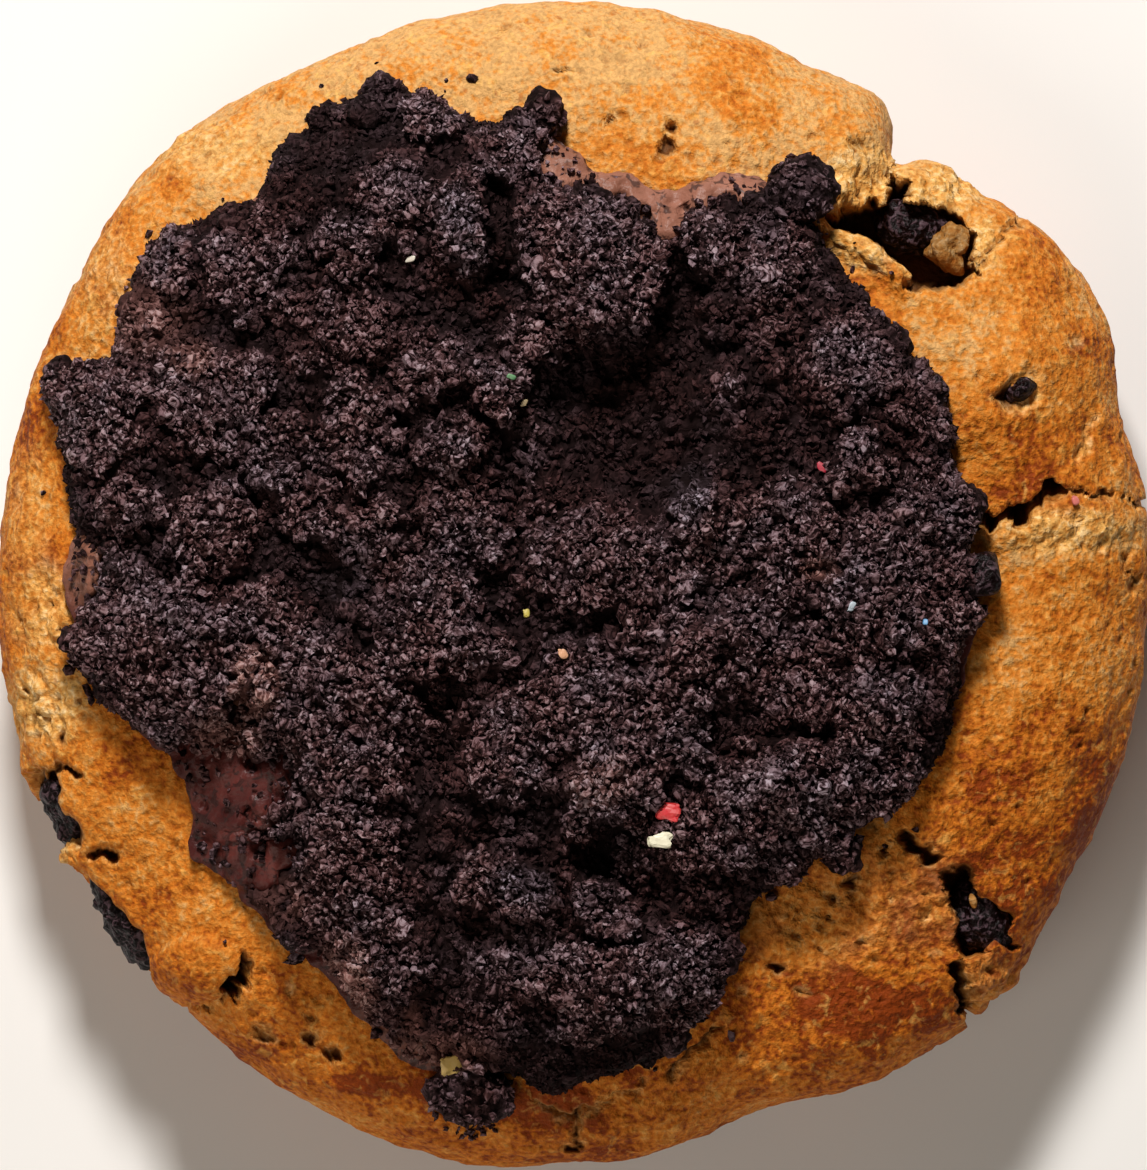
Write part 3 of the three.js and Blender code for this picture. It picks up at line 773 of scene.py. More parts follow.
def rounded_rim(share):
    """Height of a layer in shares of its full height, from 1 in its middle to 0 at its rim."""
    return np.sqrt(np.maximum(0, 1 - share**HEAP_EDGE_POWER))


def crust_height(x, y):
    """Height of the crust above the table, before its fine relief."""
    share = np.minimum(1, np.hypot(x, y) / edge_radius(degrees_of(x, y)))
    round_over = np.sqrt(1 - share**SHOULDER_POWER)
    return WAIST_HEIGHT + (COOKIE_HEIGHT - WAIST_HEIGHT + mound_sum(CRUST_MOUNDS, x, y)) * round_over


def heap_seat(x, y):
    return crust_height(x, y) + SPREAD_DEPTH + 2 * LAYER_GAP


def spread_shown(x, y):
    """How far the spread shows through the crumbs, 1 where it is bare."""
    flat = in_plan(x, y)
    bend = uneven(flat, SHOWN_BEND)
    patchy = smooth_step(*SHOWN_PATCH_EDGE, uneven(flat, SHOWN_PATCHES))
    return area_sum(SPREAD_SHOWS, x + bend, y - bend) * patchy


def route_distance(x, y, route):
    """Distance in plan from points to a route of straight stretches."""
    best = np.full(x.shape, np.inf)
    for (from_x, from_y), (to_x, to_y) in zip(route, route[1:]):
        run_x = to_x - from_x
        run_y = to_y - from_y
        along = np.clip(((x - from_x) * run_x + (y - from_y) * run_y) / (run_x**2 + run_y**2), 0, 1)
        best = np.minimum(best, np.hypot(x - from_x - along * run_x, y - from_y - along * run_y))
    return best


def outline_distance(x, y, corners):
    """Distance in plan from points to a closed outline, less than 0 inside it."""
    inside = np.zeros(x.shape, dtype=bool)
    closed = (*corners, corners[0])
    for (from_x, from_y), (to_x, to_y) in zip(closed, closed[1:]):
        crosses = (from_y > y) != (to_y > y)
        rise = to_y - from_y if to_y != from_y else 1
        inside ^= crosses & (x < from_x + (y - from_y) * (to_x - from_x) / rise)
    away = route_distance(x, y, closed)
    return np.where(inside, -away, away)


# Meshes


def new_piece(name, points, faces, material, slot, smooth=True, **masks):
    """A mesh piece that rides on the cookie, from points in mm and triangles.

    Each mask is a number for every point, which the material reads by the mask's name.
    """
    mesh = bpy.data.meshes.new(name)
    mesh.vertices.add(len(points))
    mesh.vertices.foreach_set("co", (points * MM).astype(np.float32).ravel())
    mesh.loops.add(faces.size)
    mesh.loops.foreach_set("vertex_index", faces.astype(np.int32).ravel())
    mesh.polygons.add(len(faces))
    mesh.polygons.foreach_set("loop_start", np.arange(0, faces.size, 3, dtype=np.int32))
    mesh.update(calc_edges=True)
    mesh.validate()
    mesh.polygons.foreach_set("use_smooth", np.full(len(mesh.polygons), smooth))
    for mask, values in masks.items():
        attribute = mesh.attributes.new(mask, "FLOAT", "POINT")
        attribute.data.foreach_set("value", values.astype(np.float32))
    mesh.materials.append(material)
    piece = bpy.data.objects.new(name, mesh)
    bpy.context.scene.collection.objects.link(piece)
    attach(piece, "root")
    return piece


def lofted_faces(ring_count, segments):
    """Triangles of a body lofted through rings, with a single point before the first and after the last."""
    here = np.arange(segments)
    following = (here + 1) % segments
    faces = [np.stack([np.zeros_like(here), 1 + here, 1 + following], axis=1)]
    for ring in range(ring_count - 1):
        upper = 1 + ring * segments
        lower = upper + segments
        faces.append(np.stack([upper + here, lower + here, lower + following], axis=1))
        faces.append(np.stack([upper + here, lower + following, upper + following], axis=1))
    end = 1 + (ring_count - 1) * segments
    last = np.full_like(here, end + segments)
    faces.append(np.stack([end + following, end + here, last], axis=1))
    return np.concatenate(faces)


def icosphere(subdivisions):
    """Points and triangles of a unit ball."""
    ball = bmesh.new()
    bmesh.ops.create_icosphere(ball, subdivisions=subdivisions, radius=1)
    points = np.array([vertex.co[:] for vertex in ball.verts])
    faces = np.array([[vertex.index for vertex in face.verts] for face in ball.faces])
    ball.free()
    return points, faces


def blocky(ball, roundness):
    """Points of a ball drawn out towards the corners of a block."""
    return np.sign(ball) * np.abs(ball) ** roundness


def random_turns(count, rng):
    """Rotation matrices that point every way alike."""
    spins = rng.normal(size=(4, count))
    w, x, y, z = spins / np.linalg.norm(spins, axis=0)
    rows = (
        (1 - 2 * (y * y + z * z), 2 * (x * y - w * z), 2 * (x * z + w * y)),
        (2 * (x * y + w * z), 1 - 2 * (x * x + z * z), 2 * (y * z - w * x)),
        (2 * (x * z - w * y), 2 * (y * z + w * x), 1 - 2 * (x * x + y * y)),
    )
    return np.array(rows).transpose(2, 0, 1)


def plan_turns(degrees):
    """Rotation matrices about +Z."""
    angle = np.radians(np.atleast_1d(degrees))
    turns = np.zeros((len(angle), 3, 3))
    turns[:, 0, 0] = turns[:, 1, 1] = np.cos(angle)
    turns[:, 1, 0] = np.sin(angle)
    turns[:, 0, 1] = -np.sin(angle)
    turns[:, 2, 2] = 1
    return turns


def lumps(ball, centres, halves, turns, roughness, rng):
    """Points and triangles of uneven lumps, one at each centre."""
    points, faces = ball
    push = 1 + roughness * rng.uniform(-1, 1, (len(centres), len(points), 1))
    shapes = np.einsum("nij,nkj->nki", turns, points * push * halves[:, None, :])
    first = len(points) * np.arange(len(centres))
    return (shapes + centres[:, None, :]).reshape(-1, 3), (faces + first[:, None, None]).reshape(-1, 3)


def from_centres(points, centres):
    """Ways from the centres of lumps to their points."""
    return points - np.repeat(centres, len(points) // len(centres), axis=0)


def uneven_sizes(count, small, large, rarity, rng):
    """Random sizes, with fewer large ones the higher their rarity is."""
    return small + (large - small) * rng.uniform(0, 1, count) ** rarity


# Materials


def new_material(name, roughness):
    """A material with its node tree and Principled shader."""
    material = bpy.data.materials.new(name)
    material.use_nodes = True
    shader = material.node_tree.nodes["Principled BSDF"]
    shader.inputs["Roughness"].default_value = roughness
    return material, material.node_tree, shader


def set_input(tree, socket, value):
    """Give an input a value, or link it from another node's output."""
    if isinstance(value, bpy.types.NodeSocket):
        tree.links.new(value, socket)
    else:
        socket.default_value = value


def add_node(tree, kind, settings=None, **inputs):
    """A node with its settings and inputs."""
    made = tree.nodes.new(kind)
    for key, value in (settings or {}).items():
        setattr(made, key, value)
    for key, value in inputs.items():
        set_input(tree, made.inputs[key], value)
    return made


def noise_value(tree, size, detail=3.0, curl=0.0):
    """A noise from 0 to 1 with lumps of the given size in mm, drawn out into curls."""
    place = add_node(tree, "ShaderNodeTexCoord").outputs["Object"]
    shape = {"Scale": 1 / (size * MM), "Detail": detail, "Distortion": curl}
    return add_node(tree, "ShaderNodeTexNoise", Vector=place, **shape).outputs["Fac"]


def mask_value(tree, name):
    return add_node(tree, "ShaderNodeAttribute", {"attribute_name": name}).outputs["Fac"]


def stretched(tree, value, low, high, to_low=0.0, to_high=1.0):
    """A value taken from one range to another, and kept inside it."""
    ends = {"From Min": low, "From Max": high, "To Min": to_low, "To Max": to_high}
    return add_node(tree, "ShaderNodeMapRange", Value=value, **ends).outputs["Result"]


def mixed_colour(tree, share, first, second, blend="MIX"):
    """One colour over another. Colours are sockets or RGB triples."""
    made = add_node(tree, "ShaderNodeMix", {"data_type": "RGBA", "blend_type": blend})
    for index, value in zip(MIX_INPUTS, (share, first, second)):
        set_input(tree, made.inputs[index], (*value, 1) if isinstance(value, tuple) else value)
    return made.outputs[MIX_RESULT]


def add_bump(tree, shader, height, depth):
    """Fine relief of the given depth in mm, from a height of 0 to 1."""
    bump = add_node(tree, "ShaderNodeBump", Height=height, Distance=depth * MM, Strength=1.0)
    tree.links.new(bump.outputs["Normal"], shader.inputs["Normal"])


def colour_scale(tree, share, stops):
    """A run of colours, from places of 0 to 1 on it."""
    scale = add_node(tree, "ShaderNodeValToRGB", Fac=share)
    elements = scale.color_ramp.elements
    while len(elements) < len(stops):
        elements.new(1.0)
    for element, (place, colour) in zip(elements, stops):
        element.position = place
        element.color = (*colour, 1)
    return scale.outputs["Color"]


def worked_out(tree, operation, first, second):
    """The result of a sum or product of two values."""
    made = add_node(tree, "ShaderNodeMath", {"operation": operation})
    for socket, value in zip(made.inputs, (first, second)):
        set_input(tree, socket, value)
    return made.outputs["Value"]


def added(tree, first, second):
    return worked_out(tree, "ADD", first, second)


def finish(tree, shader, colour, specular):
    """Give a shader its colour and how strongly it shines."""
    tree.links.new(colour, shader.inputs["Base Color"])
    shader.inputs["Specular IOR Level"].default_value = specular


def crust_material():
    """Baked dough: pale gold to toasted crust with a fine spongy grain, pale torn crumb, painted shade in
    cracks, pores and the hollows of its fine relief, and painted highlights.
    """
    material, tree, shader = new_material("baked crust", 0.62)
    fine = noise_value(tree, 0.6, detail=4)
    pebble = noise_value(tree, 1.7)
    mottle = stretched(tree, noise_value(tree, 3.6, detail=4), 0.25, 0.75, -0.30, 0.30)
    # Painted shade: the crust is darker where the fine bump noise is low, and paler where it is high
    speckle = stretched(tree, fine, 0.3, 0.7, 0.34, -0.34)
    baked = added(tree, added(tree, mask_value(tree, "brown"), mottle), speckle)
    crust = colour_scale(tree, baked, CRUST_COLOURS)
    # The torn crumb follows the same noise: painted shade in the hollows of the fine bump relief
    airy = added(tree, fine, stretched(tree, mottle, -0.30, 0.30, -0.12, 0.12))
    torn = mixed_colour(tree, mask_value(tree, "torn"), crust, colour_scale(tree, airy, CRUMB_COLOURS))
    # Painted shade: random dark spots stand for tiny pores
    pore = stretched(tree, noise_value(tree, 0.8), 0.60, 0.72, 0.0, 0.6)
    pore_shaded = mixed_colour(tree, pore, torn, PORE_SPOT_SHADE_COLOUR)
    # Painted highlights: random pale yellow spots on the crust
    pale = stretched(tree, noise_value(tree, 1.2, curl=0.8), 0.58, 0.72, 0.0, 0.45)
    highlighted = mixed_colour(tree, pale, pore_shaded, PAINTED_HIGHLIGHT_COLOUR)
    light = stretched(tree, noise_value(tree, 0.4, curl=0.5), 0.3, 0.7, 0.75, 1.2)
    grained = mixed_colour(tree, 1.0, highlighted, light, "MULTIPLY")
    # Painted shade: the deep mask darkens cuts, pores and bits of dough down in holes
    finish(tree, shader, mixed_colour(tree, mask_value(tree, "deep"), grained, CUT_SHADE_COLOUR), 0.08)
    add_bump(tree, shader, added(tree, fine, pebble), 0.42)
    return material


def crumb_material():
    """Crushed dark cookie: painted shade near black in the gaps, brown grains whose pale lilac-grey tops are
    partly painted highlight, dust and painted sheen, and smears of spread.
    """
    material, tree, shader = new_material("dark crumbs", 0.5)
    grains = noise_value(tree, 1.0, curl=2.2)
    # Painted shade: the shade mask and the curled grain noise darken the gaps; the pale end of each ramp is
    # partly painted highlight
    shade = worked_out(tree, "MULTIPLY", mask_value(tree, "shade"), stretched(tree, grains, 0.40, 0.60))
    plain = colour_scale(tree, shade, DARK_COLOURS)
    dust_and_sheen_colour = colour_scale(tree, shade, DUST_AND_SHEEN_COLOURS)
    # Random patches and the listed places take the pale bluish grey of dust and painted sheen
    cloud = stretched(tree, noise_value(tree, 5), 0.4, 0.65, 0, 0.7)
    dark = mixed_colour(tree, added(tree, mask_value(tree, "dust_and_sheen"), cloud), plain, dust_and_sheen_colour)
    brown = colour_scale(tree, added(tree, shade, 0.22), SMEAR_COLOURS)
    patchy = stretched(tree, noise_value(tree, 2.4), 0.28, 0.46)
    smear = worked_out(tree, "MULTIPLY", mask_value(tree, "smear"), patchy)
    finish(tree, shader, mixed_colour(tree, smear, dark, brown), 0.11)
    tree.links.new(stretched(tree, shade, 0, 0.6, 0.9, 0.5), shader.inputs["Roughness"])
    add_bump(tree, shader, grains, 0.2)
    return material


def spread_material():
    """Milk chocolate spread: satin and streaky, paler where it is thin, with fine dark crumbs in it."""
    material, tree, shader = new_material("chocolate spread", 0.42)
    streak = stretched(tree, noise_value(tree, 3), 0.35, 0.7)
    thick = mixed_colour(tree, streak, *THICK_COLOURS)
    thin = mixed_colour(tree, streak, *THIN_COLOURS)
    smooth = mixed_colour(tree, mask_value(tree, "thin"), thick, thin)
    specks = stretched(tree, noise_value(tree, 1.2, detail=4, curl=1.0), 0.55, 0.62, 0.0, 0.75)
    finish(tree, shader, mixed_colour(tree, specks, smooth, SPECK_COLOUR), 0.2)
    add_bump(tree, shader, noise_value(tree, 1.0, detail=4), 0.3)
    return material


def chocolate_material():
    """Dark chocolate pieces, with paler violet-grey spots on their ridges that stand for bloom and partly for
    painted glints.
    """
    material, tree, shader = new_material("dark chocolate", 0.4)
    # Painted glints: paler violet-grey spots in the colour, partly bloom
    bloom_and_glints = stretched(tree, noise_value(tree, 0.8, detail=4, curl=1.8), 0.50, 0.66)
    finish(tree, shader, mixed_colour(tree, bloom_and_glints, *CHOCOLATE_COLOURS), 0.1)
    add_bump(tree, shader, noise_value(tree, 0.6, detail=4), 0.35)
    return material


def fleck_material():
    """Bits of coloured sugar, each with its own colour."""
    material, tree, shader = new_material("sugar flecks", 0.45)
    colour = add_node(tree, "ShaderNodeAttribute", {"attribute_name": "colour"}).outputs["Color"]
    worn = stretched(tree, noise_value(tree, 0.5, detail=2), 0.35, 0.7, 0, 0.1)
    tree.links.new(mixed_colour(tree, worn, colour, FLECK_WORN_COLOUR), shader.inputs["Base Color"])
    return material


def floor_material():
    """Plain pale floor."""
    material, tree, shader = new_material("pale floor", 0.7)
    cloud = stretched(tree, noise_value(tree, 60), 0.3, 0.7)
    tree.links.new(mixed_colour(tree, cloud, *FLOOR_COLOURS), shader.inputs["Base Color"])
    return material


# The cookie


def rim_from_middle(degrees):
    """Distance from the cookie's middle to the spread's rim."""
    around = np.arange(0, 360, RIM_STEP)
    x, y = around_heap(around, spread_radius(around)).T
    angle = degrees_of(x, y) % 360
    order = np.argsort(angle)
    return np.interp(degrees % 360, angle[order], np.hypot(x, y)[order], period=360)


def even_radii(inner, edge, degrees):
    """Radii from inner to edge for each segment, evenly spaced along the crust."""
    fine = np.linspace(0, 1, CRUST_SAMPLES)[:, None]
    radius = inner + (edge - inner) * (1 - (1 - fine) ** 2)
    angle = np.radians(degrees)
    height = crust_height(radius * np.cos(angle), radius * np.sin(angle))
    steps = np.hypot(np.diff(radius, axis=0), np.diff(height, axis=0))
    length = np.concatenate([np.zeros((1, len(degrees))), np.cumsum(steps, axis=0)])
    columns = []
    for run, out in zip(length.T, radius.T):
        columns.append(np.interp(np.linspace(0, run[-1], TOP_RINGS), run, out))
    return np.stack(columns, axis=1)


def cookie_rings():
    """Points of the cookie before its relief, as rings from the top's middle over the edge to the foot."""
    degrees = np.arange(COOKIE_SEGMENTS) * 360 / COOKIE_SEGMENTS
    angle = np.radians(degrees)
    edge = edge_radius(degrees)
    inner = rim_from_middle(degrees) - FINE_CRUST_UNDER_SPREAD
    levels = []
    for radius in [share * inner for share in HIDDEN_SHARES] + list(even_radii(inner, edge, degrees)):
        levels.append((radius, crust_height(radius * np.cos(angle), radius * np.sin(angle))))
    for step in range(1, SIDE_RINGS + 1):
        down = np.sin(np.pi / 2 * step / SIDE_RINGS)
        radius = edge - FOOT_INSET * (1 - np.sqrt(1 - down**2))
        levels.append((radius, np.full_like(angle, WAIST_HEIGHT * (1 - down))))
    for share in FOOT_SHARES:
        levels.append((share * (edge - FOOT_INSET), np.zeros_like(angle)))
    return np.array([np.stack([out * np.cos(angle), out * np.sin(angle), up], axis=1) for out, up in levels])


def ring_normals(rings):
    """Outward directions at the points of a lofted body."""
    around = np.roll(rings, -1, axis=1) - np.roll(rings, 1, axis=1)
    return unit(np.cross(np.gradient(rings, axis=0), around))


def pocket_distance(points, pocket):
    """About how far points lie from the wall of a rounded pocket, less than 0 inside it."""
    place, below, half, turn, _ = pocket
    centre = np.array([*place, crust_height(*np.array(place, dtype=float)) - below])
    away = (points - centre) @ plan_turns(turn)[0] / np.array(half)
    return (np.linalg.norm(away, axis=1) - 1) * min(half)


def cuts_in_crust(points):
    """How deep the crust is cut at points, how far inside a cut each one is, and how far aside it moves."""
    upright = points * JITTER_UPRIGHT
    jitter = np.stack([rough(upright, *JITTER_LOBES, seed) for seed in JITTER_SEEDS])
    x, y = points.T[:2] + CRACK_JITTER * jitter
    cuts = []
    for route, half, deep, aside in CRACKS:
        cuts.append((route_distance(x, y, route) - half, deep, aside, CRACK_WALL))
    for at_x, at_y, radius, deep in PITS:
        cuts.append((np.hypot(x - at_x, y - at_y) - radius, deep, (0, 0), CRACK_WALL))
    x, y = points.T[:2] + HOLE_JITTER * jitter
    for outline, deep in HOLES:
        cuts.append((outline_distance(x, y, outline), deep, (0, 0), HOLE_WALL))
    shake = np.stack([rough(points, *POCKET_LOBES, seed) for seed in POCKET_SEEDS], axis=1)
    shaken = points + POCKET_JITTER * shake
    for pocket in POCKETS:
        cuts.append((pocket_distance(shaken, pocket), pocket[-1], (0, 0), POCKET_WALL))
    depth = np.zeros(len(points))
    inside = np.zeros(len(points))
    moved = np.zeros((len(points), 2))
    for beyond, deep, aside, (inner, outer) in cuts:
        share = fade_out(-inner, outer, beyond)
        depth = np.maximum(depth, deep * share)
        inside = np.maximum(inside, fade_out(-inner / 2, CUT_EDGE, beyond))
        moved += share[:, None] * aside
    fade = smooth_step(*CUT_FADE, points[:, 2])
    return depth * fade, inside * fade, moved * fade[:, None]


def crust_texture(points, torn):
    """Height of the crust's fine relief, coarse where it is torn, and how far points lie in pores."""
    swell = uneven(points, SWELL)
    swell += uneven(points * SIDE_STRETCH, SIDE_SWELL) * fade_out(*SIDE_SWELL_TOP, points[:, 2])
    pebble = uneven(points, PEBBLES) + uneven(points, FINE_PEBBLES)
    crag = broken(points, *CRAG_GRAIN) - CRAG_SINK + uneven(points, CRAGS)
    near, _ = grain(points, *PORE_SPACING)
    patches = smooth_step(*PORE_PATCH_EDGE, uneven(points, PORE_PATCHES) + 0.5)
    pore = fade_out(*PORE_WALL, near) * np.maximum(TORN_PORES * torn, CRUST_PORES * patches)
    return swell + pebble * (1 - TORN_SMOOTHING * torn) + torn * crag - PORE_DEPTH * pore, pore


def raised_forms(points, inside):
    """Height of the bulges, and of the lips beside cracks, holes and pockets."""
    x, y, _ = points.T
    raised = np.zeros(len(points))
    for at_x, at_y, half_x, half_y, up in BULGES:
        away = ((x - at_x) / half_x) ** 2 + ((y - at_y) / half_y) ** 2
        raised += up * np.sqrt(np.maximum(0, 1 - away))
    for route, half_width, up in LIPS:
        raised += up * np.exp(-((route_distance(x, y, route) / half_width) ** 2)) * (1 - inside)
    for pocket in POCKETS:
        raised += POCKET_LIP * np.exp(-(pocket_distance(points, pocket) ** 2)) * (1 - inside)
    return raised


def browning_and_painted_light(points, above_side):
    """How brown the crust is, from 0 where it is pale: browning, with painted light to the top and painted
    shade to the bottom of the photograph.
    """
    x, y, z = points.T
    # Paler to the top and darker to the bottom: partly browning, partly painted light and shade
    lean = BAKED - PALER_TO_TOP * smooth_step(*PALER_TO_TOP_RUN, y)
    lean += DARKER_TO_BOTTOM * smooth_step(*DARKER_TO_BOTTOM_RUN, -y)
    bend = uneven(points, BAKED_BEND)
    areas = area_sum(BROWN_AREAS, x + bend, y - bend) - PALE_SHARE * area_sum(PALE_AREAS, x, y)
    foot = FOOT_BAKED * fade_out(*FOOT_BAKED_RUN, z)
    return np.clip(lean + uneven(points, BAKED_PATCHES) + above_side * areas + foot, 0, MOST_BAKED)


def crust_relief(points):
    """How far the crust stands out, how deep it is cut, how far its cuts move aside, and its masks."""
    x, y, z = points.T
    above_side = smooth_step(*SIDE_TOP, z + uneven(points, SIDE_LINE))
    torn = np.clip(area_sum(TORN_AREAS, x, y) * (1 + uneven(points, TORN_PATCHES)), 0, 1) * above_side
    depth, inside, moved = cuts_in_crust(points)
    texture, pore = crust_texture(points, torn)
    relief = texture + raised_forms(points, inside)
    shown = smooth_step(*COVER_EDGE, spread_share(x, y))
    on_top = z > WAIST_HEIGHT
    relief = np.where(on_top, relief * shown - SUNK_UNDER_SPREAD * (1 - shown), relief)
    relief *= smooth_step(*FOOT_FADE, z)
    depth = np.where(on_top, depth * shown, depth)
    pale_tears = torn * (1 - BROWN_TEAR_SHARE * smooth_step(*BROWN_TEAR_RUN, -y))
    masks = {
        "torn": np.clip(pale_tears + CUT_TORN * inside, 0, 1),
        "brown": browning_and_painted_light(points, above_side),
        # Painted shade in cuts deep enough, and in pores
        "deep": np.clip(CUT_SHADE * inside * smooth_step(*SHADE_DEPTHS, depth) + PORE_SHADE * pore, 0, 1),
    }
    return relief, depth, moved, masks


def cut_directions(normals):
    """Ways out of a cut: straight up from the top of the cookie, and outward from its side."""
    outward = normals.copy()
    outward[:, :2] *= fade_out(*UPRIGHT_CUTS, normals[:, 2:])
    return unit(outward)


def make_cookie(material):
    rings = cookie_rings()
    flat = rings.reshape(-1, 3)
    normals = ring_normals(rings).reshape(-1, 3)
    relief, depth, moved, masks = crust_relief(flat)
    shaped = flat + normals * relief[:, None] - cut_directions(normals) * depth[:, None]
    shaped[:, :2] += moved
    top = np.array([[0, 0, crust_height(0.0, 0.0)]])
    points = np.concatenate([top, shaped, np.zeros((1, 3))])
    masks = {name: np.concatenate([[0], values, [0]]) for name, values in masks.items()}
    faces = lofted_faces(len(rings), COOKIE_SEGMENTS)
    cookie = new_piece("cookie", points, faces, material, "crust", **masks)
    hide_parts("cookie_base")


def make_dough_bits(material):
    """Broken bits of pale dough that lie in the tears."""
    places, halves, turns, below, dark = (np.array(column, dtype=float) for column in zip(*DOUGH_BITS))
    centres = np.column_stack([places, crust_height(*places.T) - below])
    ball = icosphere(CLUMP_SUBDIVISIONS)
    points, faces = lumps(ball, centres, halves, plan_turns(turns), 0, np.random.default_rng(DOUGH_SEED))
    corners = len(ball[0])
    push = broken(points, *DOUGH_GRAIN) + uneven(points, DOUGH_LUMPS)
    push *= np.repeat(np.minimum(1, halves.min(axis=1)), corners)
    shaped = points + unit(from_centres(points, centres)) * push[:, None]
    level = np.ones(len(points))
    # The deep mask is painted shade on bits of dough down in holes
    masks = {"torn": DOUGH_TORN * level, "brown": DOUGH_BAKED * level, "deep": np.repeat(dark, corners)}
    new_piece("dough_bits", shaped, faces, material, "crust", **masks)


# The spread and the crumb heap


def disc_grid(cells):
    """A square grid drawn onto a disc: angle in degrees and share of the radius for each grid point."""
    line = np.linspace(-1, 1, cells + 1)
    across, along = np.meshgrid(line, line)
    wide = np.abs(across) >= np.abs(along)
    share = np.where(wide, across, along)
    lean = np.divide(np.where(wide, along, across), share, out=np.zeros_like(share), where=share != 0)
    angle = np.where(wide, 45 * lean, 90 - 45 * lean) + np.where(share < 0, 180, 0)
    return angle.ravel(), np.abs(share).ravel()


def grid_faces(cells):
    """Triangles of a square grid, and the loop of points round its border."""
    index = np.arange((cells + 1) ** 2).reshape(cells + 1, cells + 1)
    corners = (index[:-1, :-1], index[:-1, 1:], index[1:, 1:], index[1:, :-1])
    a, b, c, d = (corner.ravel() for corner in corners)
    faces = np.concatenate([np.stack([a, b, c], axis=1), np.stack([a, c, d], axis=1)])
    border = np.concatenate([index[0, :-1], index[:-1, -1], index[-1, :0:-1], index[:0:-1, 0]])
    return faces, border


def closer_at_rim(spot):
    """Share of the radius for even steps from 0 to 1, with steps that get shorter close to the rim."""
    inward = 1 - spot
    short = inward**2 / (2 * RIM_ROUNDING)
    return 1 - np.where(inward < RIM_ROUNDING, short, inward - RIM_ROUNDING / 2) / (1 - RIM_ROUNDING / 2)


def grid_normals(points, cells):
    """Upward directions at the points of a square grid."""
    grid = points.reshape(cells + 1, cells + 1, 3)
    return unit(np.cross(np.gradient(grid, axis=1), np.gradient(grid, axis=0)).reshape(-1, 3))


def layer_piece(name, cells, radius_at, top_at, relief_at, masks_at, material, slot):
    """A layer over the crust: a finely modelled top, a skirt round its rim and a plain underside."""
    degrees, spot = disc_grid(cells)
    share = closer_at_rim(spot)
    x, y = around_heap(degrees, share * radius_at(degrees)).T
    top = np.stack([x, y, top_at(x, y, share)], axis=1)
    top = top + grid_normals(top, cells) * relief_at(top)[:, None]
    faces, border = grid_faces(cells)
    under = np.concatenate([top[border, :2], [HEAP_CENTRE]])
    points = np.concatenate([top, np.column_stack([under, crust_height(*under.T) - SUNK_IN_CRUST])])
    here = len(top) + np.arange(len(border))
    following = np.roll(here, -1)
    middle = np.full_like(here, len(points) - 1)
    skirt = [
        np.stack([border, here, following], axis=1),
        np.stack([border, following, np.roll(border, -1)], axis=1),
        np.stack([following, here, middle], axis=1),
    ]
    return new_piece(name, points, np.concatenate([faces, *skirt]), material, slot, **masks_at(points))


def spread_top(x, y, share):
    """Height of the spread, rounded at its rim and wavy where the knife left it."""
    wave = uneven(in_plan(x, y), SPREAD_WAVES)
    depth = SPREAD_DEPTH - SPREAD_RIM_DEPTH + SHOWN_RISE * spread_shown(x, y) + wave
    return crust_height(x, y) + LAYER_GAP + SPREAD_RIM_DEPTH + depth * rounded_rim(share)


def spread_relief(points):
    return uneven(points, SPREAD_RELIEF)


def spread_masks(points):
    """Where the spread is thin: to the top of the photograph, and in single places."""
    x, y, _ = points.T
    return {"thin": np.maximum(smooth_step(*THIN_FROM, y), area_sum(THIN_AREAS, x, y))}


def make_spread(material):
    forms = (spread_radius, spread_top, spread_relief, spread_masks)
    spread = layer_piece("spread", SPREAD_CELLS, *forms, material, "spread")
    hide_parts("chocolate_spread")


def scattered_domes(count, small, large, jitter, seed):
    """Places, radii and heights of rounded clumps spread over the heap."""
    rng = np.random.default_rng(seed)
    around = rng.uniform(0, 360, count)
    places = around_heap(around, np.sqrt(rng.uniform(0, 1, count)) * heap_radius(around))
    sizes = uneven_sizes(count, small, large, LARGE_DOME_RARITY, rng)
    return places, sizes, rng.uniform(-jitter, jitter, count)


DOMES = ((scattered_domes(*BIG_DOMES), BIG_GAP), (scattered_domes(*SMALL_DOMES), SMALL_GAP))


def dome_relief(domes, gap, x, y):
    """The upper side of overlapping domes, with gaps between them."""
    relief = np.full(x.shape, gap)
    for (dome_x, dome_y), size, top in zip(*domes):
        away = ((x - dome_x) ** 2 + (y - dome_y) ** 2) / size**2
        near = away < 1
        dome = top + DOME_HEIGHT * size * (np.sqrt(1 - away[near]) - DOME_SINK)
        relief[near] = np.maximum(relief[near], dome)
    return relief


def slab_sum(x, y):
    """Sum of the heap's clumps and gaps with steep edges."""
    total = np.zeros_like(x)
    for outline, up, edge in HEAP_SLABS:
        total += up * fade_out(-edge, edge, outline_distance(x, y, outline))
    return total


def clump_relief(x, y):
    """How far the heap's clumps stand out of its large form."""
    flat = in_plan(x, y)
    bend_x, bend_y = (uneven(flat, bend) for bend in CLUMP_BENDS)
    rounded = sum(dome_relief(domes, gap, x + bend_x, y + bend_y) for domes, gap in DOMES)
    return rounded + slab_sum(x + SLAB_BEND * bend_x, y + SLAB_BEND * bend_y)


def clump_table():
    """The clumps' relief on a square table, MAP_STEP apart, for finding what crumbs lie on."""
    line = np.arange(-MAP_REACH, MAP_REACH, MAP_STEP)
    x, y = np.meshgrid(line, line)
    return clump_relief(x.ravel(), y.ravel()).reshape(x.shape)


CLUMP_TABLE = clump_table()


def table_index(at):
    """Nearest row or column of the clumps' table."""
    return np.clip(np.rint((at + MAP_REACH) / MAP_STEP).astype(int), 0, len(CLUMP_TABLE) - 1)


def clumps_at(x, y):
    """The clumps' relief at points in plan, from the table."""
    return CLUMP_TABLE[table_index(y), table_index(x)]


